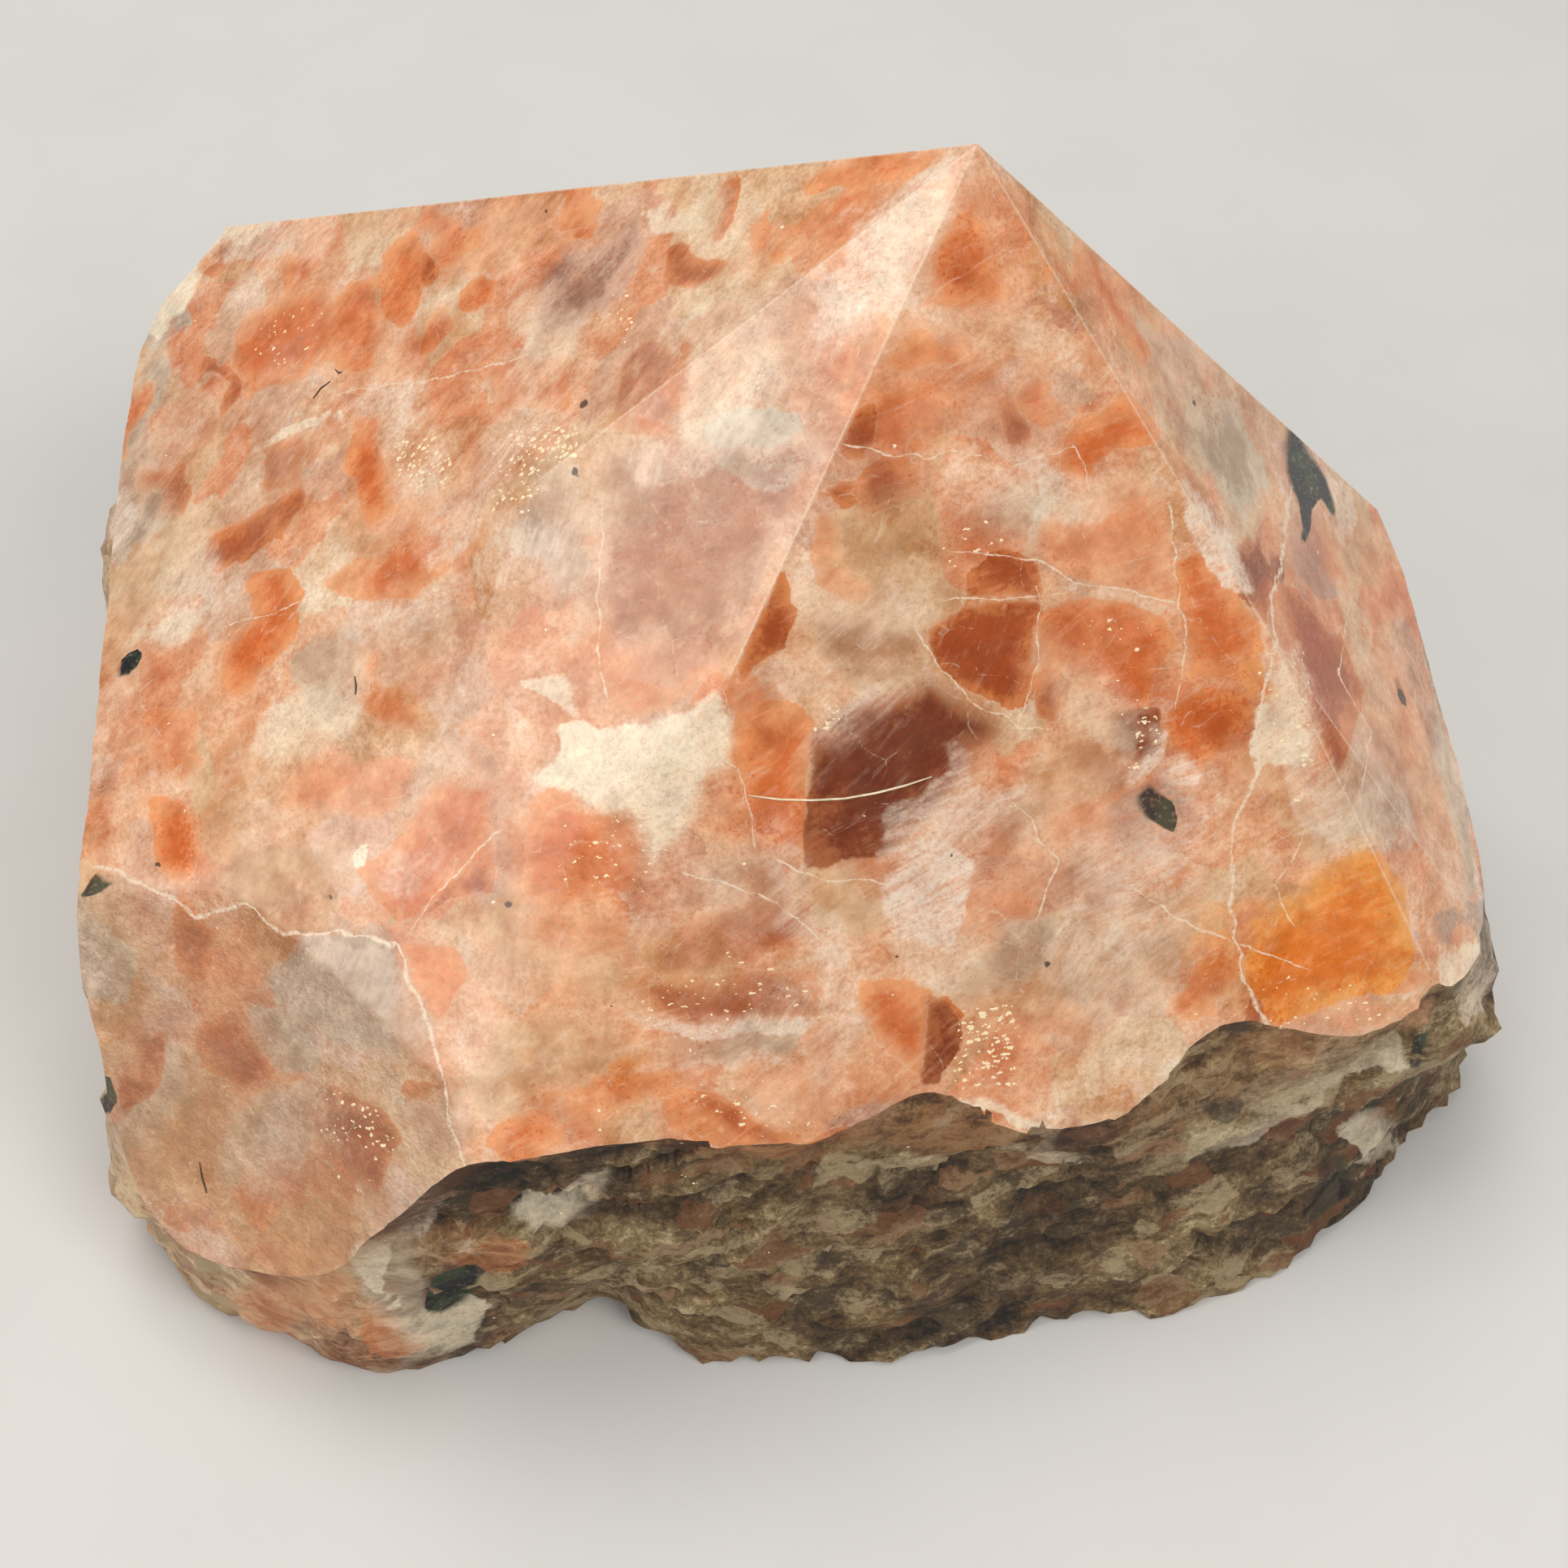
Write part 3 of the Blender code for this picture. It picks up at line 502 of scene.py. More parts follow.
        "wall_plate": grain(1600, 1335, 5.0, 1.4, 14, 0.4, 0.6),
        "wall_plate_low": grain(1560, 1382, 5.0, 1.1, 12, 0.4, 0.5),
        "wall_right_lump": grain(1690, 1410, 1.7, 1.6, 0, 0.5, 0.6),
    },
    "smoke": {
        "below_lens": outline(0.8, 0.5, (1590, 655), (1614, 640), (1626, 690), (1640, 735), (1616, 728),
            (1592, 700)),
        "right_bluish": grain(1826, 1150, 0.8, 2.0, 5, 0.5, 0.5),
        "speck_halo": grain(1424, 985, 1.5, 2.0, 0, 0.6, 0.4),
    },
    "black": {
        "lens": outline(0.2, 1.0, (1588, 526), (1602, 532), (1615, 562), (1630, 592), (1631, 606),
            (1642, 632), (1638, 639), (1622, 616), (1612, 626), (1604, 668), (1597, 640), (1591, 612),
            (1583, 585), (1582, 548)),
        "dark_green": outline(0.2, 0.9, (1403, 980), (1416, 967), (1428, 980), (1442, 991), (1445, 1010),
            (1439, 1026), (1424, 1019), (1410, 1006)),
        "right_speck": outline(0.15, 0.9, (1718, 840), (1724, 847), (1730, 862), (1734, 875), (1728, 871),
            (1722, 860)),
        "pocket": outline(0.2, 1.0, (523, 1602), (534, 1580), (560, 1569), (590, 1556), (599, 1567),
            (582, 1596), (562, 1609), (546, 1617), (529, 1612)),
        "corner": grain(1750, 1298, 0.8, 0.8, 0, 0.3, 0.9),
        "left_wall_high": outline(0.15, 1.0, (148, 834), (158, 808), (178, 796), (174, 813), (159, 830)),
        "left_wall_crack": outline(0.15, 0.9, (96, 1078), (112, 1081), (134, 1086), (122, 1094), (102, 1102)),
        "shoulder_oval": grain(133, 1352, 0.4, 0.7, 0, 0.15, 0.9),
        # Black in two crevices of the wall: painted shade.
        "wall_crevice": grain(1515, 1370, 1.6, 0.6, 20, 0.3, 0.6),
        "wall_crevice_low": grain(1640, 1435, 2.2, 0.6, 15, 0.3, 0.6),
    },
    # The worn shoulder, tan and darker: its duller worn surface, with painted shade of its steeper face.
    "worn": {
        "shoulder": outline(0.35, 0.30, (80, 1078), (138, 1076), (172, 1091), (196, 1108), (230, 1127),
            (258, 1134), (299, 1102), (326, 1124), (359, 1148), (398, 1151), (436, 1158), (479, 1148),
            (494, 1168), (498, 1196), (518, 1230), (527, 1254), (527, 1292), (542, 1321), (551, 1340),
            (556, 1420), (520, 1520), (500, 1720), (60, 1720)),
    },
    # Where the painted glints of the stone's tiny flakes lie, and how thick they are.
    "glitter": {
        "left_golden": grain(525, 575, 1.3, 1.7, 0, 0.6, 1.0),
        "left_white": grain(665, 545, 1.8, 2.0, 20, 0.7, 1.0),
        "left_white_low": grain(640, 600, 1.4, 1.6, 20, 0.7, 0.8),
        "left_top": grain(770, 390, 1.1, 2.0, 0, 0.7, 0.8),
        "left_speckled": grain(335, 425, 2.4, 1.8, 0, 0.8, 0.5),
        "left_front": grain(760, 1040, 3.0, 2.4, 0, 1.0, 0.4),
        "left_front_high": grain(940, 476, 1.3, 0.7, 0, 0.4, 0.9),
        "front_upper": grain(1200, 660, 1.8, 1.4, 0, 0.7, 0.6),
        "maroon_corner": grain(1020, 885, 0.8, 0.8, 0, 0.3, 1.0),
        "column_side": outline(0.3, 1.0, (1188, 1240), (1245, 1236), (1256, 1270), (1240, 1350), (1176, 1352),
            (1174, 1300)),
        "speckled_wide": grain(900, 1235, 5.8, 2.4, 3, 0.8, 0.45),
        "front_middle": grain(1360, 800, 2.4, 2.4, 0, 1.2, 0.3),
        "white_lilac": grain(1415, 915, 1.2, 1.8, 0, 0.6, 0.9),
        "lip": grain(900, 1360, 4.0, 1.2, 5, 0.8, 0.5),
        "corner": grain(1640, 1225, 4.2, 1.2, -3, 1.0, 0.5),
        "shoulder": grain(445, 1400, 2.6, 3.4, 0, 1.0, 0.6),
        "pale_band": grain(1600, 900, 1.6, 4.0, 33, 1.0, 0.5),
    },
}

# Grains on the sides that the photo doesn't show: how many of each colour.
HIDDEN_GRAINS = {
    "tan": 20, "salmon": 46, "mauve": 18, "grey": 26, "orange": 60, "amber": 4, "rust": 40,
    "maroon": 8, "veil": 40, "cream": 36, "smoke": 4, "black": 8, "glitter": 16,
}
HIDDEN_SEED = 23
HIDDEN_WIDTHS = (1.4, 4.6)
HIDDEN_TURNS = (-20.0, 60.0)
HIDDEN_DEPTH = 6.0
HIDDEN_STRENGTHS = (0.5, 0.9)
SKIN_SHARE = 0.45
HIDDEN_SHAPES = (0.4, 0.9)
HIDDEN_SOFTNESS = (0.3, 1.2)
# Of the random grains, these are smaller than the others.
SMALL_LAYERS = ("black", "smoke")
SMALL_SHARE = 0.4

# Thin pale veins, each through the pixels where the photo shows it. Veins that meet are in different sets.
VEINS = {
    "vein_a": {
        "long_crack": (
            (1588, 600), (1586, 640), (1577, 700), (1566, 735), (1572, 795), (1556, 860), (1546, 890),
            (1550, 950), (1525, 1005), (1520, 1050), (1518, 1095), (1520, 1150), (1540, 1230), (1560, 1260)),
        # A pale line along the rim of the worn shoulder: a painted highlight of that edge.
        "shoulder_rim_highlight": (
            (135, 1070), (180, 1090), (240, 1130), (300, 1112), (350, 1150), (420, 1150), (490, 1165),
            (500, 1210), (520, 1230), (535, 1290), (560, 1400), (575, 1440)),
    },
    "vein_d": {
        "across_lens": ((1185, 736), (1240, 737), (1290, 733)),
        "below_lens": ((1140, 790), (1160, 830), (1215, 878), (1280, 905)),
        "upper_left": ((1060, 555), (1140, 565), (1175, 553), (1200, 560)),
        "worn_edge": ((895, 870), (893, 935), (910, 945), (930, 1030)),
        "left_low": ((600, 1035), (560, 1080), (510, 1135)),
        "left_middle": ((290, 768), (330, 760), (360, 745)),
    },
    "vein_b": {
        "over_lens": ((1200, 680), (1280, 690), (1320, 715), (1380, 725), (1440, 742)),
        "upper_right": ((1270, 570), (1325, 550), (1340, 590)),
        "below_maroon": ((975, 1070), (1040, 1088), (1095, 1088)),
        "diagonal": ((860, 1080), (960, 1110), (1000, 1150)),
        "lens_upright": ((1281, 735), (1280, 800), (1262, 875)),
        "left_upper": ((430, 480), (520, 470), (640, 440)),
        "right_lace": ((1660, 760), (1650, 830), (1690, 900), (1680, 960)),
    },
    "vein_c": {
        "right_of_lens": ((1440, 640), (1452, 727), (1462, 800), (1450, 860)),
        "under_corner": ((1405, 1100), (1450, 1130), (1520, 1160), (1600, 1190)),
        "above_corner": ((1600, 1040), (1570, 1090), (1590, 1130)),
        "front_middle": ((1262, 1000), (1300, 1060), (1280, 1120)),
        "left_front": ((742, 640), (738, 740), (742, 850)),
    },
}

# Dark specks too small for a grain: the photo's pixel and the radius in mm.
SPECKS = {
    "front": (1289, 1187, 0.26),
    "front_left": (1106, 1178, 0.20),
    "left_low": (407, 1105, 0.26),
    "left_ridge": (710, 582, 0.28),
    "left_brown": (719, 498, 0.42),
    "left_top": (673, 260, 0.20),
    "left_rim": (195, 1065, 0.20),
    "left_green": (627, 1114, 0.34),
    "lint_end": (1171, 1054, 0.16),
    "right_small": (1472, 497, 0.26),
    "left_fleck": (478, 478, 0.14),
    "worn": (755, 1240, 0.14),
}

# Dirt lying on the stone: one pale fibre and a few short dark hairs, by pixels of the photo.
LINT = ((922, 980), (960, 985), (1000, 986), (1040, 984), (1080, 977), (1115, 968), (1148, 957))
HAIRS = {
    "left_upper": ((386, 491), (396, 478), (407, 470)),
    "left_middle": ((437, 833), (439, 845), (438, 856)),
    "shoulder": ((246, 1432), (249, 1450), (255, 1470)),
    "small": ((413, 455), (418, 460), (421, 458)),
}
LINT_RADIUS = 0.07
HAIR_RADIUS = 0.06


def normal_of(bearing, slope):
    """Outward normal of a face that looks towards a bearing with a slope, both in degrees."""
    b = math.radians(bearing)
    s = math.radians(slope)
    return np.array((math.sin(s) * math.cos(b), math.sin(s) * math.sin(b), math.cos(s)))


def bend_point():
    """The point where the edge between the front and right facets bends outwards."""
    along = np.cross(normal_of(*FACETS["front"]), normal_of(*FACETS["right"]))
    return APEX + along * (BEND_HEIGHT - APEX[2]) / along[2]


def reach(directions, normal, point):
    """How far each direction runs from the middle before it meets the plane, or FAR if it never does."""
    along = directions @ normal
    offset = float(normal @ (np.asarray(point) - MIDDLE))
    return np.where(along > TINY, offset / np.maximum(along, TINY), FAR)


def smooth_step(low, high, value):
    t = np.clip((value - low) / (high - low), 0.0, 1.0)
    return t * t * (3.0 - 2.0 * t)


def smooth_min(a, b, width):
    """The lesser of a and b, rounded where they are closer than width."""
    width = np.maximum(width, 1e-6)
    h = np.maximum(width - np.abs(a - b), 0.0) / width
    return np.minimum(a, b) - h * h * width / 4.0


def lumpy(points, wavelength, shift=0.0):
    """Smooth noise from about -1 to 1 at each point."""
    offset = Vector((shift, 1.7 * shift, 2.3 * shift))
    return np.array([noise.noise(Vector(p) / wavelength + offset) for p in points])


def polished_reach(directions):
    """Distance to the polished facets, rounded along their worn edge."""
    planes = {name: reach(directions, normal_of(*face), APEX) for name, face in FACETS.items()}
    nearest = np.min(list(planes.values()), axis=0)
    from_apex = np.linalg.norm(MIDDLE + directions * nearest[:, None] - APEX, axis=1)
    rounding = WORN_EDGE_ROUND * smooth_step(WORN_EDGE_START, WORN_EDGE_END, from_apex)
    front = planes[WORN_EDGE_FACETS[0]]
    for name in WORN_EDGE_FACETS[1:]:
        front = smooth_min(front, planes[name], rounding)
    crisp = [planes[name] for name in FACETS if name not in WORN_EDGE_FACETS]
    low = reach(directions, normal_of(*LOW_FACET), bend_point())
    return np.min([front, *crisp, low], axis=0)


def shoulder_reach(directions):
    """Distance to the worn shoulder, whose surface waves gently."""
    one, other = (reach(directions, normal_of(*slope), SHOULDER_POINT) for slope in SHOULDER_SLOPES)
    trough = np.minimum(-smooth_min(-one, -other, TROUGH_ROUND), SHOULDER_LIMIT)
    waves = lumpy(MIDDLE + directions * trough[:, None], SHOULDER_WAVELENGTH, SHOULDER_SHIFT)
    return trough + SHOULDER_WAVE * waves


def ledges(points):
    """Steps in the skin along the grain, as deep as LEDGE_DEPTH in some places and gone in others."""
    height = points[:, 2] - GRAIN_RISE * points[:, 0] + LEDGE_WANDER * lumpy(points, *LEDGE_WANDER_NOISE)
    phase = height / LEDGE_STEP % 1.0
    depth = LEDGE_DEPTH * smooth_step(-0.35, 0.35, lumpy(points, *LEDGE_DEPTH_NOISE))
    return depth * (smooth_step(0.0, 0.2, phase) - phase)


def chips(points, width, step):
    """Height of the flat chip that each point lies on: every chip has its own level and lean."""
    scale = np.array((width, width, width * CHIP_FLATNESS))
    along_grain = points - np.outer(points[:, 0], (0.0, 0.0, GRAIN_RISE))
    heights = []
    for place in along_grain / scale:
        chip = noise.voronoi(place)[1][0]
        lean = noise.noise_vector(chip * 5.3) * CHIP_TILT
        heights.append(step * (noise.noise(chip * 7.1) + lean.dot(Vector(place) - chip)))
    return np.array(heights)


def wall_reach(directions):
    """Distance to the broken sides and the rounded rim of the base before they are roughened."""
    distance = np.full(len(directions), FAR)
    for bearing, slope, point in WALLS.values():
        distance = smooth_min(distance, reach(directions, normal_of(bearing, slope), point), WALL_ROUND)
    rim = reach(directions, np.array((0.0, 0.0, -1.0)), (0.0, 0.0, BASE_RIM_DEPTH))
    return np.minimum(smooth_min(distance, rim, WALL_ROUND), SKIN_LIMIT)


def swell(points, centre, radius, height):
    """A round swell of the skin, or a hollow where its height is negative."""
    gap = np.linalg.norm(points - np.array(centre), axis=1)
    return height * np.exp(-((gap / radius) ** 2))


def skin_reach(directions, polished):
    """Distance to the broken skin, and the height of its flakes."""
    distance = wall_reach(directions)
    points = MIDDLE + directions * distance[:, None]
    below_lip = polished - distance
    roughness = ledges(points)
    for index, (wavelength, height) in enumerate(LUMPS):
        roughness = roughness + height * lumpy(points, wavelength, LUMP_SHIFT * (index + 1))
    for width, step in CHIPS:
        roughness = roughness + chips(points, width, step)
    flakes = np.sum([chips(points, width, step) for width, step in FLAKES], axis=0)
    calm = CALM_SHARE + (1.0 - CALM_SHARE) * smooth_step(0.0, CALM_BAND, below_lip)
    distance = distance + calm * (roughness + flakes) - LIP_STEP * smooth_step(0.0, LIP_BAND, below_lip)
    for centre, radius, height in SWELLINGS.values():
        distance = distance + swell(points, centre, radius, height)
    for centre, height in RIM_SWELLS.values():
        distance = distance + swell(points, centre, RIM_SWELL_RADIUS, height)
    return distance, roughness + 2.0 * flakes


def surface_parts(directions):
    """Distances to the facets, the shoulder and the skin, and the height of the skin's flakes."""
    facets = polished_reach(directions)
    shoulder = shoulder_reach(directions)
    skin, relief = skin_reach(directions, np.minimum(facets, shoulder))
    return facets, shoulder, skin, relief


def move_to_rim(directions, edges):
    """Slide the directions nearest the rim of the polished faces onto it, so that the rim is a clean line."""
    facets, shoulder, skin, _ = surface_parts(directions)
    inside = skin - np.minimum(facets, shoulder)
    a, b = edges[:, 0], edges[:, 1]
    crossing = inside[a] * inside[b] < 0.0
    a, b = a[crossing], b[crossing]
    share = inside[a] / (inside[a] - inside[b])
    mover = np.where(share < 0.5, a, b)
    travel = np.minimum(share, 1.0 - share)
    target = directions[a] + share[:, None] * (directions[b] - directions[a])
    moved = directions.copy()
    for index in np.argsort(-travel):
        moved[mover[index]] = target[index]
    return moved / np.linalg.norm(moved, axis=1)[:, None]


def ridge_lines():
    """The crisp edges between facets: a point and a direction running down from it, for each."""
    faces = [normal_of(*face) for face in FACETS.values()]
    for here, following in zip(faces, faces[1:] + faces[:1]):
        yield APEX, np.cross(here, following)
    for name in ("front", "right"):
        yield bend_point(), np.cross(normal_of(*FACETS[name]), normal_of(*LOW_FACET))


def ridge_distance(points):
    """Distance from each point to the nearest crisp edge, in mm."""
    nearest = np.full(len(points), 50.0)
    for start, along in ridge_lines():
        down = -along / np.linalg.norm(along) * np.sign(along[2])
        run = np.maximum((points - start) @ down, 0.0)
        away = np.linalg.norm(points - start - run[:, None] * down, axis=1)
        nearest = np.minimum(nearest, away)
    return nearest


def polished_part(bm):
    """The faces, edges and corners of the ball that become polished surface."""
    centres = np.array([face.calc_center_median().normalized() for face in bm.faces])
    facets = [reach(centres, normal_of(*face), APEX) for face in FACETS.values()]
    polished = np.min(facets, axis=0) < wall_reach(centres)
    faces = [face for face, chosen in zip(bm.faces, polished) if chosen]
    edges = dict.fromkeys(edge for face in faces for edge in face.edges)
    verts = dict.fromkeys(vert for face in faces for vert in face.verts)
    return [*faces, *edges, *verts]


def ball():
    """A ball of triangles, cut where the crisp edges will run."""
    bm = bmesh.new()
    bmesh.ops.create_icosphere(bm, subdivisions=BALL_SUBDIVISIONS, radius=1.0)
    for vert in bm.verts:
        vert.co = (vert.co + BALL_LEAN).normalized()
    for start, along in ridge_lines():
        normal = np.cross(start - MIDDLE, along)
        bmesh.ops.bisect_plane(bm, geom=polished_part(bm), dist=1e-4, plane_co=(0, 0, 0), plane_no=normal)
    bmesh.ops.triangulate(bm, faces=bm.faces[:])
    bmesh.ops.subdivide_edges(bm, edges=bm.edges[:], cuts=FINER_CUTS, use_grid_fill=True)
    bmesh.ops.triangulate(bm, faces=bm.faces[:])
    bm.verts.index_update()
    return bm


def photo_axes():
    """Right, up and back of the photo's camera."""
    tilt = math.radians(PHOTO_TILT)
    right = np.array((1.0, 0.0, 0.0))
    up = np.array((0.0, math.sin(tilt), math.cos(tilt)))
    back = np.array((0.0, -math.cos(tilt), math.sin(tilt)))
    return right, up, back


def photo_eye():
    return PHOTO_TARGET + PHOTO_DISTANCE * photo_axes()[2]


def photo_ray(x, y):
    """Where the photo's camera stands, and the direction in which it sees a pixel."""
    right, up, back = photo_axes()
    ray = (x - PHOTO_HALF) * PHOTO_SPREAD * right - (y - PHOTO_HALF) * PHOTO_SPREAD * up - back
    return photo_eye(), ray / np.linalg.norm(ray)


def seen_point(tree, x, y):
    """The point of the stone that the photo shows at a pixel, or None where the pixel misses the stone."""
    eye, ray = photo_ray(x, y)
    hit = tree.ray_cast(Vector(eye), Vector(ray))[0]
    return None if hit is None else np.array(hit)


def bend(points):
    """Points shifted by smooth noise, so that grains aren't plain ovals."""
    shifted = points.copy()
    for wavelength, shift in GRAIN_BENDS:
        moves = [noise.noise_vector(Vector(p) / wavelength) for p in points]
        shifted += shift * np.array(moves)
    return shifted


def photo_place(points):
    """The photo's pixel at which each point is seen."""
    right, up, back = photo_axes()
    offset = points - photo_eye()
    depth = -(offset @ back) * PHOTO_SPREAD
    return np.column_stack((PHOTO_HALF + offset @ right / depth, PHOTO_HALF - offset @ up / depth))


def oval_axes(tree, look):
    """Middle and axes of an oval grain of the photo."""
    right, up, _ = photo_axes()
    centre = seen_point(tree, *look["at"])
    width, height = look["size"]
    angle = math.radians(look["turn"])
    along = math.cos(angle) * right + math.sin(angle) * up
    across = math.cos(angle) * up - math.sin(angle) * right
    return centre, np.column_stack((along * width, across * height, photo_ray(*look["at"])[1] * GRAIN_DEPTH))


def hidden_grains(points, facing):
    """Random ovals of the same colours on the sides that the photo doesn't show."""
    rng = random.Random(HIDDEN_SEED)
    back = photo_axes()[2]
    outward = points - MIDDLE
    outward /= np.linalg.norm(outward, axis=1)[:, None]
    hidden = np.flatnonzero((facing < 0.0) & (outward @ back < -0.05) & (points[:, 2] > 1.0))
    layers = {}
    for layer, count in HIDDEN_GRAINS.items():
        layers[layer] = []
        for _ in range(count):
            spot = hidden[rng.randrange(len(hidden))]
            width = rng.uniform(*HIDDEN_WIDTHS)
            height = width * rng.uniform(*HIDDEN_SHAPES)
            if layer in SMALL_LAYERS:
                width, height = width * SMALL_SHARE, height * SMALL_SHARE
            normal = Vector(outward[spot])
            level = Vector((0.0, 0.0, 1.0)).cross(normal).normalized()
            angle = math.radians(rng.uniform(*HIDDEN_TURNS))
            along = level * math.cos(angle) + normal.cross(level) * math.sin(angle)
            axes = np.column_stack((along * width, normal.cross(along) * height, normal * HIDDEN_DEPTH))
            strength = rng.uniform(*HIDDEN_STRENGTHS) * (SKIN_SHARE if points[spot][2] < SKIN_TOP else 1.0)
            look = {"size": (width, height), "soft": rng.uniform(*HIDDEN_SOFTNESS), "strength": strength}
            layers[layer].append((points[spot], axes, look))
    return layers


def oval_depth(bent, centre, axes, look):
    """How far inside an oval grain each point is in mm, and on which side of it, from -1 to 1 twice."""
    middle = bend(centre[None, :])[0]
    place = (bent - middle) @ np.linalg.inv(axes).T
    radius = np.linalg.norm(place, axis=1)
    narrow = min(look["size"])
    depth = (1.0 - radius) * narrow
    side = place[:, :2] / np.maximum(radius, ALL_SIDES)[:, None]
    return np.where(depth > 0.0, depth * max(1.0, HEART / narrow), depth), side


def outline_depth(pixels, corners):
    """How far inside an outline each pixel is in mm, and on which side of it, from -1 to 1 twice."""
    corners = np.array(corners, float)
    inside = np.zeros(len(pixels), bool)
    nearest = np.full(len(pixels), 1e6)
    for here, following in zip(corners, np.roll(corners, -1, axis=0)):
        edge = following - here
        offset = pixels - here
        share = np.clip(offset @ edge / (edge @ edge), 0.0, 1.0)
        nearest = np.minimum(nearest, np.linalg.norm(offset - share[:, None] * edge, axis=1))
        level = offset[:, 1] / (edge[1] if edge[1] else 1e-9)
        inside ^= (level >= 0.0) & (level < 1.0) & (offset[:, 0] < level * edge[0])
    half_size = np.ptp(corners, axis=0) / 2.0
    side = (pixels - corners.mean(axis=0)) / half_size
    side /= np.maximum(np.linalg.norm(side, axis=1), ALL_SIDES)[:, None]
    nearest *= PIXEL
    deepest = nearest[inside].max() if inside.any() else HEART
    return np.where(inside, nearest * max(1.0, HEART / deepest), -nearest), side


def grain_field(depths):
    """For each point: how many mm it is inside the nearest grain, with that grain's strength and softness."""
    best = None
    for depth, side, misty, look in depths:
        if best is None:
            best = np.tile((-FIELD_LIMIT, 0.0, 1.0), (len(depth), 1))
        depth = np.clip(depth, -FIELD_LIMIT, FIELD_LIMIT)
        softness = look["soft"] * np.exp(MISTY_SIDE * (side @ (math.cos(misty), math.sin(misty))))
        better = depth > best[:, 0]
        best[better] = np.column_stack((depth, np.full(len(depth), look["strength"]), softness))[better]
    return best


def layer_depths(points, normals, tree):
    """Yields each layer's name and field."""
    facing = np.einsum("ij,ij->i", normals, photo_eye() - points) / PHOTO_DISTANCE
    bent = bend(points)
    pixels = photo_place(points + OUTLINE_BEND * (bent - points))
    away = np.where(facing > 0.03, 0.0, 10.0)
    hidden = hidden_grains(points, facing)
    for layer, looks in GRAINS.items():
        depths = []
        rng = random.Random(layer)
        for name, look in looks.items():
            misty = random.Random(f"{layer} {name}").uniform(0.0, 2.0 * math.pi)
            if "corners" in look:
                depth, side = outline_depth(pixels, look["corners"])
                depths.append((depth - away, side, misty, look))
            else:
                depths.append((*oval_depth(bent, *oval_axes(tree, look), look), misty, look))
        for centre, axes, look in hidden.get(layer, ()):
            depths.append((*oval_depth(bent, centre, axes, look), rng.uniform(0.0, 2.0 * math.pi), look))
        yield layer, grain_field(depths)


def vein_path(tree, pixels, rng):
    """Points on the stone along a vein, a small step apart, with a slight random wander."""
    found = []
    for (x0, y0), (x1, y1) in zip(pixels, pixels[1:]):
        steps = max(2, int(math.hypot(x1 - x0, y1 - y0) * PIXEL / VEIN_SPACING))
        for step in range(steps):
            share = step / steps
            point = seen_point(tree, x0 + share * (x1 - x0), y0 + share * (y1 - y0))
            if point is not None:
                found.append(point)
    found = np.array(found)
    seed = rng.uniform(0.0, 50.0)
    wander = [noise.noise_vector(Vector(p) / 1.6 + Vector((seed, 0, 0))) for p in found]
    return found + VEIN_WANDER * np.array(wander)


def vein_field(points, tree, veins, rng):
    """For each point: its signed distance across the nearest vein in mm, and how near that vein is."""
    back = photo_axes()[2]
    spots = []
    tangents = []
    for pixels in veins.values():
        path = vein_path(tree, pixels, rng)
        spots.append(path)
        tangents.append(np.gradient(path, axis=0))
    spots = np.concatenate(spots)
    tangents = np.concatenate(tangents)
    tangents /= np.linalg.norm(tangents, axis=1)[:, None]
    lookup = kdtree.KDTree(len(spots))
    for index, spot in enumerate(spots):
        lookup.insert(spot, index)
    lookup.balance()
    nearest = np.array([lookup.find(p)[1] for p in points])
    offset = points - spots[nearest]
    across = np.einsum("ij,ij->i", offset, np.cross(back, tangents[nearest]))
    near = 1.0 - smooth_step(VEIN_REACH, 1.8 * VEIN_REACH, np.linalg.norm(offset, axis=1))
    return np.column_stack((np.clip(across, -3.0, 3.0), near, np.zeros(len(points))))


def add_attribute(mesh, name, values, domain="POINT"):
    kind = "FLOAT_VECTOR" if values.ndim == 2 else "FLOAT"
    key = "vector" if values.ndim == 2 else "value"
    attribute = mesh.attributes.new(name, kind, domain)
    attribute.data.foreach_set(key, values.astype(np.float32).ravel())


def mark_crisp_edges(bm, polish):
    """Edges are crisp between polished facets, round their rim, and at steep steps of the skin."""
    for edge in bm.edges:
        if len(edge.link_faces) != 2:
            continue
        one, other = (polish[face.index] for face in edge.link_faces)
        limit = CRISP_EDGE if one == other == 1.0 else SKIN_CRISP_EDGE
        edge.smooth = edge.calc_face_angle(0.0) < math.radians(limit)
    for face in bm.faces:
        face.smooth = True


def add_object(name, data):
    made = bpy.data.objects.new(name, data)
    bpy.context.scene.collection.objects.link(made)
    return made


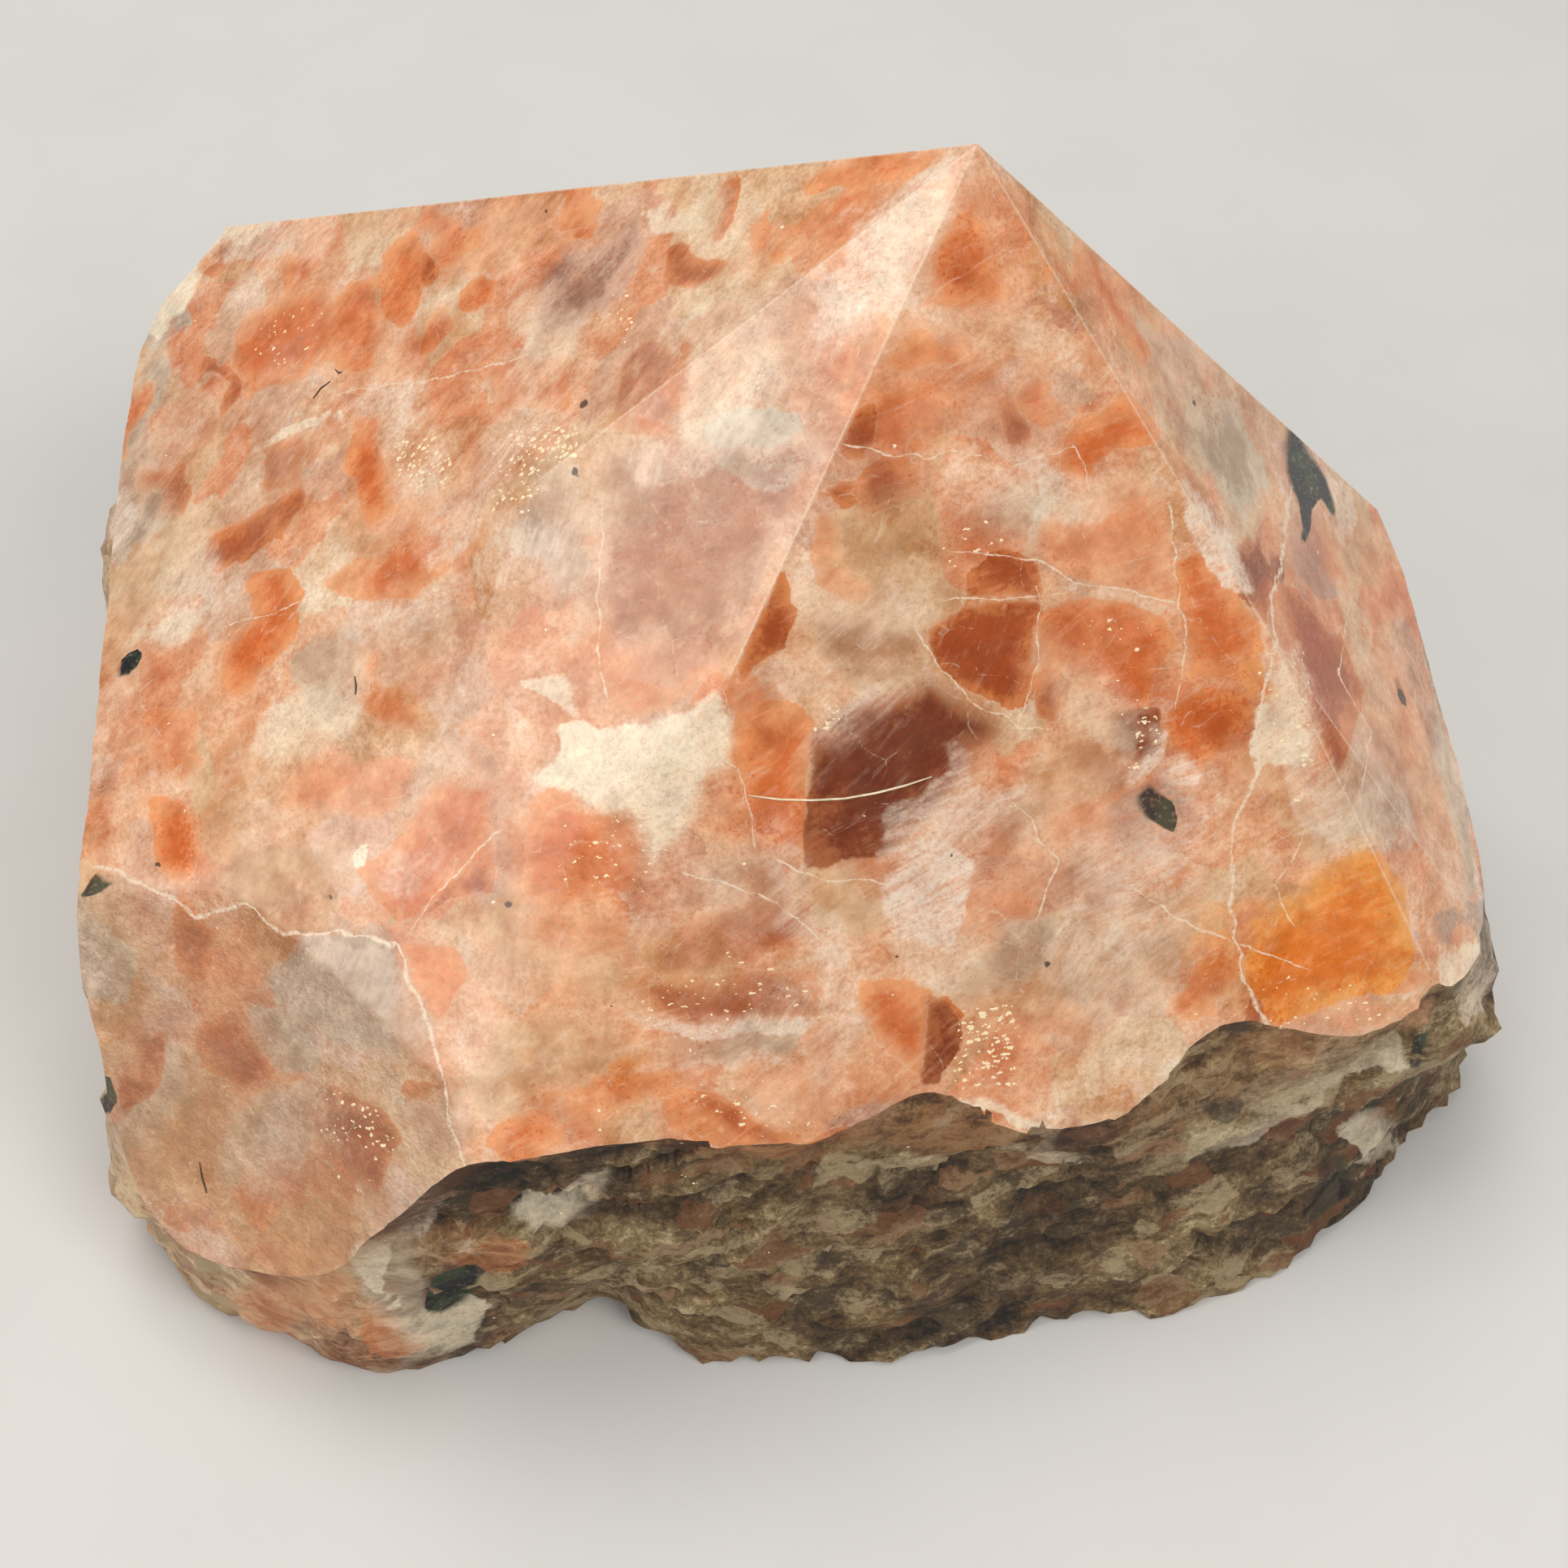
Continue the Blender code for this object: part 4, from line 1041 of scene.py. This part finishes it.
def stone():
    """The stone as one mesh, with its polish, flakes, grains and veins as attributes."""
    bm = ball()
    edges = np.array([[v.index for v in edge.verts] for edge in bm.edges])
    directions = move_to_rim(np.array([v.co.normalized() for v in bm.verts]), edges)
    facets, shoulder, skin, relief = surface_parts(directions)
    base = reach(directions, np.array((0.0, 0.0, -1.0)), (0.0, 0.0, 0.0))
    points = MIDDLE + directions * np.min([facets, shoulder, skin, base], axis=0)[:, None]
    for vert, point in zip(bm.verts, points):
        vert.co = point
    bm.normal_update()
    corners = np.array([[v.index for v in face.verts] for face in bm.faces])
    normals = np.array([v.normal for v in bm.verts])
    on_skin = (skin - np.minimum(facets, shoulder))[corners].mean(axis=1) < 0.0
    on_shoulder = (shoulder - facets)[corners].mean(axis=1) < 0.0
    polish = np.where(on_skin, 0.0, np.where(on_shoulder, 0.5, 1.0))
    polish[base[corners].max(axis=1) < np.minimum(facets, skin)[corners].max(axis=1)] = 0.0
    bm.faces.index_update()
    mark_crisp_edges(bm, polish)
    tree = BVHTree.FromBMesh(bm)

    for vert, point in zip(bm.verts, points):
        vert.co = Vector((point - FOOTPRINT_CENTRE) * MM)
    for face in bm.faces:
        face.material_index = 1 if polish[face.index] == 0.0 else 0
    mesh = bpy.data.meshes.new("sunstone")
    bm.to_mesh(mesh)
    bm.free()
    print("stone faces", len(mesh.polygons))

    add_attribute(mesh, "polish", polish, "FACE")
    add_attribute(mesh, "below_lip", np.minimum(facets, shoulder) - wall_reach(directions))
    add_attribute(mesh, "relief", relief)
    add_attribute(mesh, "ridge", ridge_distance(points))
    for layer, field in layer_depths(points, normals, tree):
        add_attribute(mesh, layer, field)
    rng = random.Random(5)
    for name, veins in VEINS.items():
        add_attribute(mesh, name, vein_field(points, tree, veins, rng))
    return add_object("sunstone", mesh), tree


def tube(name, paths, radius, tree):
    """Thin tubes lying on the stone along paths of the photo's pixels."""
    bm = bmesh.new()
    back = photo_axes()[2]
    sides = 6
    for path in paths:
        centres = [seen_point(tree, x, y) + back * radius for x, y in path]
        tangents = np.gradient(np.array(centres), axis=0)
        rings = []
        for index, (centre, tangent) in enumerate(zip(centres, tangents)):
            side = np.cross(tangent, back)
            side /= np.linalg.norm(side)
            lift = np.cross(side, tangent)
            lift /= np.linalg.norm(lift)
            thin = 0.5 if index in (0, len(centres) - 1) else 1.0
            ring = []
            for step in range(sides):
                angle = 2.0 * math.pi * step / sides
                spot = centre + radius * thin * (math.cos(angle) * side + math.sin(angle) * lift)
                ring.append(bm.verts.new((spot - FOOTPRINT_CENTRE) * MM))
            rings.append(ring)
        for here, following in zip(rings, rings[1:]):
            for step in range(sides):
                after = (step + 1) % sides
                bm.faces.new((here[step], here[after], following[after], following[step]))
        bm.faces.new(rings[0])
        bm.faces.new(rings[-1])
    bmesh.ops.recalc_face_normals(bm, faces=bm.faces[:])
    mesh = bpy.data.meshes.new(name)
    bm.to_mesh(mesh)
    bm.free()
    mesh.shade_smooth()
    return add_object(name, mesh)


def colour(red, green, blue):
    """A colour given as it looks on a screen, from 0 to 255, for a shader."""
    return tuple((c / 255.0) ** 2.2 for c in (red, green, blue)) + (1.0,)


class Graph:
    """Adds nodes to a material and joins them. Values and sockets may be given for any input."""

    def __init__(self, name):
        self.material = bpy.data.materials.new(name)
        self.material.use_nodes = True
        self.tree = self.material.node_tree
        self.tree.nodes.clear()

    def node(self, kind, inputs, output=0, **settings):
        made = self.tree.nodes.new(kind)
        for name, value in settings.items():
            setattr(made, name, value)
        for key, value in inputs.items():
            if isinstance(value, bpy.types.NodeSocket):
                self.tree.links.new(value, made.inputs[key])
            else:
                made.inputs[key].default_value = value
        return made.outputs[output]

    def math(self, operation, a, b=0.0, c=0.0):
        return self.node("ShaderNodeMath", {0: a, 1: b, 2: c}, operation=operation)

    def add(self, a, b):
        return self.math("ADD", a, b)

    def times(self, a, b):
        return self.math("MULTIPLY", a, b)

    def swing(self, noise, amount):
        """A noise moved to lie round zero, and made as strong as given."""
        return self.times(self.math("SUBTRACT", noise, 0.5), amount)

    def shifted(self, level, *noises):
        """A level moved up and down by noises, each given with its amount."""
        for noise, amount in noises:
            level = self.add(level, self.swing(noise, amount))
        return level

    def step(self, value, low, high, start=0.0, end=1.0):
        inputs = {"Value": value, "From Min": low, "From Max": high, "To Min": start, "To Max": end}
        return self.node("ShaderNodeMapRange", inputs, interpolation_type="SMOOTHSTEP")

    def mix(self, share, a, b, blend="MIX"):
        return self.node("ShaderNodeMix", {0: share, 6: a, 7: b}, 2, data_type="RGBA", blend_type=blend)

    def vector(self, operation, a, b=(0.0, 0.0, 0.0)):
        if operation == "SCALE":
            return self.node("ShaderNodeVectorMath", {0: a, "Scale": b}, operation=operation)
        return self.node("ShaderNodeVectorMath", {0: a, 1: b}, operation=operation)

    def stretch(self, place, turns, scale):
        inputs = {"Vector": place, "Rotation": [math.radians(t) for t in turns], "Scale": scale}
        return self.node("ShaderNodeMapping", inputs, vector_type="POINT")

    def noise(self, place, wavelength, detail=2.0, output=0, roughness=0.5):
        inputs = {"Vector": place, "Scale": 1.0 / wavelength, "Detail": detail, "Roughness": roughness}
        return self.node("ShaderNodeTexNoise", inputs, output)

    def cells(self, place, width, feature="F1"):
        """Distance and random colour of cells about as wide as given."""
        inputs = {"Vector": place, "Scale": 1.0 / width}
        made = self.node("ShaderNodeTexVoronoi", inputs, 0, feature=feature).node
        return made.outputs["Distance"], made.outputs.get("Color")

    def ramp(self, value, stops):
        made = self.tree.nodes.new("ShaderNodeValToRGB")
        self.tree.links.new(value, made.inputs[0])
        elements = made.color_ramp.elements
        while len(elements) < len(stops):
            elements.new(0.5)
        for element, (position, look) in zip(elements, stops):
            element.position = position
            element.color = look
        return made.outputs[0]

    def parts(self, vector):
        made = self.tree.nodes.new("ShaderNodeSeparateXYZ")
        self.tree.links.new(vector, made.inputs[0])
        return made.outputs[0], made.outputs[1], made.outputs[2]

    def attribute(self, name, output="Vector"):
        made = self.tree.nodes.new("ShaderNodeAttribute")
        made.attribute_name = name
        return made.outputs[output]

    def colour_of(self, value):
        """The colour output of the noise whose value this is."""
        return value.node.outputs["Color"]

    def grey(self, value):
        return self.node("ShaderNodeCombineColor", {0: value, 1: value, 2: value})

    def place(self):
        """The point's own place in the object, in metres."""
        return self.tree.nodes.new("ShaderNodeTexCoord").outputs["Object"]

    def finish_stone(self, base_colour, roughness, height, ior):
        """A stone's surface, whose height is in mm."""
        bump = self.node("ShaderNodeBump", {"Strength": 1.0, "Distance": MM, "Height": height})
        return self.finish({"Base Color": base_colour, "Roughness": roughness, "Normal": bump, "IOR": ior})

    def finish(self, inputs):
        shader = self.node("ShaderNodeBsdfPrincipled", inputs)
        end = self.tree.nodes.new("ShaderNodeOutputMaterial")
        self.tree.links.new(shader, end.inputs["Surface"])
        return self.material


# Each layer of grains: colours at the rim and inside, how soon the inner one is reached, and how pale its
# outline is.
LAYER_LOOKS = {
    "salmon": (colour(230, 166, 124), colour(218, 134, 88), 0.35, 0.0),
    "tan": (colour(218, 180, 140), colour(188, 138, 92), 0.40, 0.0),
    "mauve": (colour(208, 164, 138), colour(158, 108, 84), 0.40, 0.0),
    "grey": (colour(208, 190, 166), colour(166, 146, 124), 0.40, 0.0),
    "orange": (colour(228, 148, 94), colour(208, 98, 36), 0.55, 0.4),
    "amber": (colour(234, 156, 76), colour(222, 112, 12), 0.35, 0.3),
    "rust": (colour(208, 122, 66), colour(158, 66, 12), 0.70, 0.4),
    "maroon": (colour(164, 92, 52), colour(108, 42, 12), 0.40, 0.2),
}
PALE_LOOKS = {
    "veil": colour(236, 212, 190),
    "cream": colour(244, 228, 198),
}
GROUND_RAMP = (
    (0.30, colour(208, 120, 74)),
    (0.41, colour(219, 143, 100)),
    (0.51, colour(226, 166, 126)),
    (0.63, colour(233, 191, 158)),
    (0.78, colour(243, 222, 198)),
)
TAN_RAMP = (
    (0.30, colour(186, 120, 72)),
    (0.41, colour(207, 150, 105)),
    (0.51, colour(218, 173, 133)),
    (0.63, colour(228, 196, 162)),
    (0.78, colour(241, 224, 198)),
)
MAUVE_RAMP = (
    (0.30, colour(184, 120, 88)),
    (0.41, colour(202, 147, 116)),
    (0.51, colour(213, 165, 137)),
    (0.63, colour(224, 188, 165)),
    (0.78, colour(239, 218, 203)),
)
# Skin colours along a level that falls where the flakes lie low: the darker stops stand for the skin's own
# dark and painted shade between the flakes.
SKIN_RAMP = (
    (0.28, colour(32, 24, 14)),
    (0.42, colour(68, 50, 28)),
    (0.54, colour(98, 76, 48)),
    (0.66, colour(134, 112, 76)),
    (0.78, colour(182, 162, 124)),
)
PEACH_SKIN_RAMP = (
    (0.28, colour(100, 60, 36)),
    (0.42, colour(158, 112, 78)),
    (0.54, colour(188, 148, 110)),
    (0.68, colour(214, 184, 146)),
)
DUST_RED = colour(150, 56, 20)
LACE = colour(240, 216, 188)
SMOKE = colour(104, 110, 114)
BLACK = colour(20, 24, 24)
DARK_GREEN = colour(46, 58, 38)
# Colour of the painted glints.
PAINTED_GLINT = colour(255, 232, 190)
# Painted shadow under the overhanging lip: its darkest and its brownest colour.
LIP_SHADOW_DARK = colour(82, 50, 28)
LIP_SHADOW_BROWN = colour(146, 102, 62)
SUGAR = colour(250, 234, 216)
WORN_TAN_AND_SHADE = colour(150, 108, 72)
SPECK = colour(62, 46, 34)
PLATE_PALE = colour(160, 140, 106)
SKIN_RUST = colour(122, 74, 44)

# Sizes in mm of what the shaders draw on the stone.
DRIFT_SIZE = 4.5
DRIFT = 3.2
CLOUD_SIZE = 6.0
CRYSTAL_SIZE = 6.5
RAGGED_SIZE = 2.4
SPECKLE_SIZE = 0.36
FIBRE_WIDTH = 0.50
FIBRE_STRETCH = (0.10, 1.0, 1.0)
ZONE_SIZE = 5.0
FLECK_SIZE = 1.3
NET_SIZE = 6.0
GLINT_SPACING = 0.34
SPECK_SHIFT = 0.5
SKIN_FLAKE_SIZE = 1.0
SKIN_CLOUD_SIZE = 5.0
SKIN_SPECKLE_SIZE = 0.40
PLATE_SIZE = 1.3
# Turn and stretch of the broken skin's layers.
SKIN_TURN = (0.0, 9.0, 0.0)
POLISHED_IOR = 1.54
SKIN_IOR = 1.5


def layer_mask(g, name, ragged):
    """Where a layer's grains are, from 0 to 1, and how deep inside them in mm."""
    value, strength, soft = g.parts(g.attribute(name))
    pushed = g.add(value, ragged)
    mask = g.step(g.math("DIVIDE", pushed, soft), -0.7, 0.7)
    return g.times(mask, strength), pushed


def vein_mask(g, place, wobble):
    """The thin veins of the photo, their width and strength varying along them."""
    width = g.step(g.noise(place, 1.1, 1.0), 0.35, 0.65, 0.03, 0.11)
    total = 0.0
    for name in VEINS:
        across, near, _ = g.parts(g.attribute(name))
        apart = g.math("ABSOLUTE", g.add(across, wobble))
        line = g.step(apart, g.times(width, WIDENING) if name == WIDE_VEINS else width, 0.0)
        total = g.math("MAXIMUM", total, g.times(line, near))
    return total


def dress(g, base_colour, tone, fibres, speckle, ragged, ragged_noise, share=1.0):
    """Puts the grains, veils and smoky patches over a ground colour, at the given share of their strength."""
    grain_tone = g.shifted(g.swing(speckle, 2.0), (ragged_noise, -2.6), (fibres, -0.9), (tone, -2.4))
    for name, (rim, heart, soon, pale_edge) in LAYER_LOOKS.items():
        mask, inside = layer_mask(g, name, ragged)
        depth = g.step(g.add(g.times(inside, soon), grain_tone), -0.3, 1.1)
        body = g.mix(depth, rim, heart)
        if pale_edge:
            band = g.step(g.math("ABSOLUTE", g.add(inside, 0.05)), 0.12, 0.0, 0.0, pale_edge)
            body = g.mix(band, body, LACE)
        base_colour = g.mix(g.times(mask, share), base_colour, body)

    misty = g.step(g.shifted(fibres, (speckle, 0.5)), 0.30, 0.68, 0.30, 1.0)
    for name, pale in PALE_LOOKS.items():
        mask, _ = layer_mask(g, name, ragged)
        mask = g.times(mask, misty if name == "veil" else g.step(misty, 0.0, 1.0, 0.60, 1.0))
        base_colour = g.mix(g.times(mask, share), base_colour, pale)
    smoke_mask, _ = layer_mask(g, "smoke", ragged)
    return g.mix(g.times(smoke_mask, g.step(fibres, 0.3, 0.6, 0.3, 1.0)), base_colour, SMOKE)


def painted_glints(g, place):
    """Painted glints of tiny flat flakes, thick in some places and rare elsewhere."""
    glitter, _ = layer_mask(g, "glitter", 0.0)
    slanting = g.stretch(place, (0.0, 35.0, 0.0), (0.55, 1.0, 1.0))
    uneven = g.vector("ADD", slanting, g.vector("SCALE", g.noise(place, 0.25, 0.0, 1), 0.26))
    gap, pick = g.cells(uneven, GLINT_SPACING)
    random_one, random_two, _ = g.parts(pick)
    wanted = g.add(g.times(glitter, 0.95), 0.003)
    size = g.add(0.23, g.times(g.times(random_two, random_two), 0.38))
    size = g.times(size, g.step(glitter, 0.2, 1.0, 0.6, 1.0))
    return g.times(g.math("LESS_THAN", random_one, wanted), g.step(gap, size, g.times(size, 0.75)))


def stone_coordinates(g):
    """Place in mm, and the same bent by soft noise."""
    place = g.vector("SCALE", g.place(), 1.0 / MM)
    drift = g.vector("SUBTRACT", g.noise(place, DRIFT_SIZE, 1.0, 1), (0.5, 0.5, 0.5))
    bent = g.vector("ADD", place, g.vector("SCALE", drift, DRIFT))
    return place, bent


def specks(g, place, tree):
    """Where the tiny dark specks are."""
    uneven = g.vector("ADD", place, g.vector("SCALE", g.noise(place, 0.5, 0.0, 1), SPECK_SHIFT))
    total = 0.0
    for x, y, radius in SPECKS.values():
        spot = Vector(seen_point(tree, x, y) - FOOTPRINT_CENTRE + SPECK_SHIFT / 2.0)
        apart = g.node("ShaderNodeVectorMath", {0: uneven, 1: spot}, 1, operation="DISTANCE")
        total = g.math("MAXIMUM", total, g.step(apart, radius, radius * 0.6, 0.0, 0.85))
    return total


def black_inclusions_and_crevice_shade(g, base_colour, bent, speckle, ragged):
    """Puts the black and dark green inclusions over a base colour, with black in the wall's crevices as
    painted shade.
    """
    mask, _ = layer_mask(g, "black", g.times(ragged, 0.2))
    mask = g.times(mask, g.step(speckle, 0.54, 0.68, 1.0, 0.75))
    green = g.step(g.noise(bent, 3.0, 1.0, roughness=0.7), 0.50, 0.60)
    return g.mix(mask, base_colour, g.mix(green, BLACK, DARK_GREEN))


def polished_material(tree):
    """The polished stone: grains of feldspar in cream, orange and rust under a clear smooth surface."""
    g = Graph("sunstone")
    place, bent = stone_coordinates(g)
    worn = g.step(g.attribute("polish", "Fac"), 0.95, 0.5)
    tone = g.noise(bent, CLOUD_SIZE, 3.0, roughness=0.6)
    speckle = g.noise(place, SPECKLE_SIZE, 2.0, roughness=0.8)
    ragged_noise = g.noise(place, RAGGED_SIZE, 4.0, roughness=0.68)
    ragged = g.add(g.swing(ragged_noise, 2.0), 0.08)

    # Every crystal has its own shade and its own direction of fibres.
    crystals = g.vector("ADD", bent, g.vector("SCALE", g.colour_of(ragged_noise), RAGGED_SIZE))
    _, pick = g.cells(crystals, CRYSTAL_SIZE)
    shade, lie, kind = g.parts(pick)
    turned = g.node("ShaderNodeVectorRotate", {
        "Vector": place, "Axis": tuple(photo_axes()[2]), "Angle": g.times(g.add(lie, 0.15), -1.1),
    }, rotation_type="AXIS_ANGLE")
    fibres = g.noise(g.stretch(turned, (0.0, 0.0, 0.0), FIBRE_STRETCH), FIBRE_WIDTH, 3.0, roughness=0.7)

    # Ground: clouds broken up by fibres, fine grains and pale sugary flecks.
    level = g.shifted(0.49, (tone, 0.62), (fibres, 0.15), (speckle, 0.26), (ragged_noise, 0.30),
                      (shade, 0.12))
    base_colour = g.mix(g.step(lie, 0.35, 0.75), g.ramp(level, GROUND_RAMP), g.ramp(level, TAN_RAMP))
    base_colour = g.mix(g.step(kind, 0.62, 0.82, 0.0, 0.7), base_colour, g.ramp(level, MAUVE_RAMP))
    zone = g.step(g.noise(bent, ZONE_SIZE, 1.0), 0.46, 0.64)
    flecks = g.step(g.noise(place, FLECK_SIZE, 3.0, roughness=0.8), 0.48, 0.72)
    base_colour = g.mix(g.times(g.times(flecks, zone), 0.32), base_colour, SUGAR)
    base_colour = dress(g, base_colour, tone, fibres, speckle, ragged, ragged_noise)

    # Fine red dust in the warmer parts, fine pale threads and a faint net of pale lines.
    dust = g.step(g.shifted(speckle, (tone, -0.5)), 0.58, 0.74, 0.0, 0.40)
    base_colour = g.mix(dust, base_colour, DUST_RED)
    base_colour = g.mix(g.step(fibres, 0.54, 0.72, 0.0, 0.08), base_colour, SUGAR)
    # Tan over the worn shoulder: its duller worn surface, and painted shade of its steeper, less lit face.
    worn_and_shade_mask, _ = layer_mask(g, "worn", g.times(ragged, 0.5))
    base_colour = g.mix(worn_and_shade_mask, base_colour, WORN_TAN_AND_SHADE)
    texture = g.shifted(1.0, (speckle, 0.50), (ragged_noise, 0.80))
    base_colour = g.mix(1.0, base_colour, g.grey(texture), "MULTIPLY")
    wobble = g.swing(ragged_noise, 0.7)
    gap, _ = g.cells(bent, NET_SIZE, "DISTANCE_TO_EDGE")
    net = g.step(g.add(gap, g.times(wobble, 0.02)), 0.010, 0.0)
    lace = g.times(net, g.step(fibres, 0.46, 0.60, 0.0, 0.35))
    # Paler along the crisp ridges between facets: a painted highlight of the edges.
    edge = g.step(g.attribute("ridge", "Fac"), 0.16, 0.02, 0.0, 0.45)
    lines = g.math("MAXIMUM", vein_mask(g, place, wobble), g.math("MAXIMUM", lace, edge))
    base_colour = g.mix(g.times(lines, g.step(speckle, 0.35, 0.55, 0.35, 1.0)), base_colour, LACE)
    base_colour = black_inclusions_and_crevice_shade(g, base_colour, bent, speckle, ragged)
    base_colour = g.mix(specks(g, place, tree), base_colour, SPECK)
    base_colour = g.mix(painted_glints(g, place), base_colour, PAINTED_GLINT)

    roughness = g.add(g.step(tone, 0.3, 0.7, 0.14, 0.22), g.times(worn, 0.22))
    dents = g.add(g.times(speckle, 0.05), g.times(ragged_noise, 0.55))
    height = g.add(g.times(g.noise(place, 1.2, 2.0), 0.012), g.times(worn, dents))
    return g.finish_stone(base_colour, roughness, height, POLISHED_IOR)


def skin_material():
    """The broken skin: layered flakes, taupe in front and peach on the left, painted shade between the flakes
    and a painted shadow just under the lip.
    """
    g = Graph("sunstone_skin")
    place, bent = stone_coordinates(g)
    relief = g.attribute("relief", "Fac")
    lip = g.attribute("below_lip", "Fac")
    along_grain = g.stretch(bent, SKIN_TURN, (0.40, 0.40, 1.0))
    flakes = g.noise(along_grain, SKIN_FLAKE_SIZE, 4.0, roughness=0.7)
    tone = g.noise(bent, SKIN_CLOUD_SIZE, 4.0, roughness=0.66)
    speckle = g.noise(place, SKIN_SPECKLE_SIZE, 2.0, roughness=0.8)
    ragged = g.swing(tone, 3.4)
    # Lower flakes are darker: painted shade between the flakes, over the skin's own tone.
    level = g.shifted(g.step(relief, -1.8, 1.8, 0.34, 0.62), (flakes, 0.62), (speckle, 0.42), (tone, 0.62))
    across, _, _ = g.parts(place)
    leftwards = g.step(g.add(across, g.times(ragged, 3.0)), -22.0, -32.0)
    base_colour = g.mix(leftwards, g.ramp(level, SKIN_RAMP), g.ramp(level, PEACH_SKIN_RAMP))

    # Thin plates: pale ones and a few brown ones, lying along the grain.
    uneven = g.vector("ADD", bent, g.vector("SCALE", g.colour_of(tone), 2.0))
    _, kind = g.cells(g.stretch(uneven, SKIN_TURN, (0.42, 0.42, 1.0)), PLATE_SIZE)
    pick, other, _ = g.parts(kind)
    pale = g.times(g.step(pick, 0.66, 0.74), g.step(level, 0.40, 0.62, 0.10, 0.75))
    base_colour = g.mix(pale, base_colour, PLATE_PALE)
    base_colour = g.mix(g.step(other, 0.80, 0.90, 0.0, 0.5), base_colour, SKIN_RUST)
    # Painted shadow just under the overhanging lip: dark brown, weaker to the right and none on the left.
    under_lip = g.step(g.add(lip, g.times(ragged, 0.9)), 2.2, 0.6, 0.0, 0.80)
    under_lip = g.times(under_lip, g.step(g.add(across, g.times(ragged, 3.0)), 12.0, 24.0, 1.0, 0.35))
    under_lip = g.times(under_lip, g.math("SUBTRACT", 1.0, leftwards))
    base_colour = g.mix(under_lip, base_colour, g.mix(g.step(level, 0.36, 0.62), LIP_SHADOW_DARK, LIP_SHADOW_BROWN))
    # Under the lip the grains show less, so that the painted shadow there stays dark.
    share = g.step(lip, 0.5, 4.0, 0.15, 0.9)
    base_colour = dress(g, base_colour, flakes, flakes, speckle, ragged, tone, share)
    base_colour = black_inclusions_and_crevice_shade(g, base_colour, bent, speckle, ragged)
    base_colour = g.mix(painted_glints(g, place), base_colour, PAINTED_GLINT)
    roughness = g.step(flakes, 0.3, 0.7, 0.75, 0.45)
    height = g.add(g.times(g.noise(place, 0.7, 3.0, roughness=0.65), 0.35), g.times(flakes, 0.35))
    return g.finish_stone(base_colour, roughness, height, SKIN_IOR)


def fibre_material(name, look):
    g = Graph(name)
    place = g.vector("SCALE", g.place(), 1.0 / MM)
    shade = g.step(g.noise(place, 0.5, 2.0), 0.3, 0.7, 0.8, 1.1)
    return g.finish({"Base Color": g.mix(1.0, look, g.grey(shade), "MULTIPLY"), "Roughness": 0.6})


# Square lights round the stone: place and size in metres, power in watts and tint. All shine at one point.
LIT_POINT = (0.0, 0.0, 0.035)
LIGHTS = {
    "overhead": ((-0.12, 0.18, 0.62), 0.45, 2.2, (1.0, 0.98, 0.95)),
    "left_softbox": ((-0.42, -0.32, 0.36), 0.40, 1.1, (1.0, 0.98, 0.96)),
    "front_fill": ((0.34, -0.34, 0.50), 0.35, 2.0, (1.0, 0.97, 0.93)),
}
SURROUND_TINT = (0.95, 0.97, 1.0, 1.0)
SURROUND_STRENGTH = 0.28
FLOOR_SIZE = 8.0
FLOOR_COLOUR = colour(214, 212, 208)


def add_area_light(name, place, size, power, tint):
    light = bpy.data.lights.new(name, "AREA")
    light.shape = "SQUARE"
    light.size = size
    light.energy = power
    light.color = tint
    lamp = add_object(name, light)
    lamp.location = place
    lamp.rotation_euler = (Vector(LIT_POINT) - Vector(place)).to_track_quat("-Z", "Y").to_euler()


def studio():
    """A plain pale floor, a pale surround and soft lights."""
    mesh = bpy.data.meshes.new("floor")
    half = FLOOR_SIZE / 2.0
    corners = [(-half, -half, 0), (half, -half, 0), (half, half, 0), (-half, half, 0)]
    mesh.from_pydata(corners, [], [(0, 1, 2, 3)])
    floor = add_object("floor", mesh)
    g = Graph("floor")
    mottle = g.step(g.noise(g.place(), 0.02, 3.0), 0.3, 0.7, 0.97, 1.0)
    mesh.materials.append(g.finish({
        "Base Color": g.mix(1.0, FLOOR_COLOUR, g.grey(mottle), "MULTIPLY"),
        "Roughness": 0.8,
    }))

    world = bpy.data.worlds.new("surround")
    world.use_nodes = True
    surround = world.node_tree.nodes["Background"]
    surround.inputs["Color"].default_value = SURROUND_TINT
    surround.inputs["Strength"].default_value = SURROUND_STRENGTH
    bpy.context.scene.world = world
    for name, (place, size, power, tint) in LIGHTS.items():
        add_area_light(name, place, size, power, tint)
    bpy.context.scene.view_settings.view_transform = "Standard"


def add_camera():
    data = bpy.data.cameras.new("photo_view")
    data.sensor_width = 36.0
    data.lens = 18.0 / math.tan(math.radians(PHOTO_ANGLE / 2.0))
    data.clip_start = 0.005
    camera = add_object("photo_view", data)
    camera.location = Vector((photo_eye() - FOOTPRINT_CENTRE) * MM)
    camera.rotation_euler = (math.radians(90.0 - PHOTO_TILT), 0.0, 0.0)
    bpy.context.scene.camera = camera


def main():
    noise.seed_set(NOISE_SEED)
    piece, tree = stone()
    piece.data.materials.append(polished_material(tree))
    piece.data.materials.append(skin_material())
    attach(piece, "root")
    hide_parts("sunstone_point")

    lint = tube("lint_fibre", [LINT], LINT_RADIUS, tree)
    lint.data.materials.append(fibre_material("lint", colour(240, 226, 190)))
    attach(lint, "root")
    hairs = tube("dark_hairs", list(HAIRS.values()), HAIR_RADIUS, tree)
    hairs.data.materials.append(fibre_material("hair", colour(60, 48, 40)))
    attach(hairs, "root")

    studio()
    add_camera()


main()
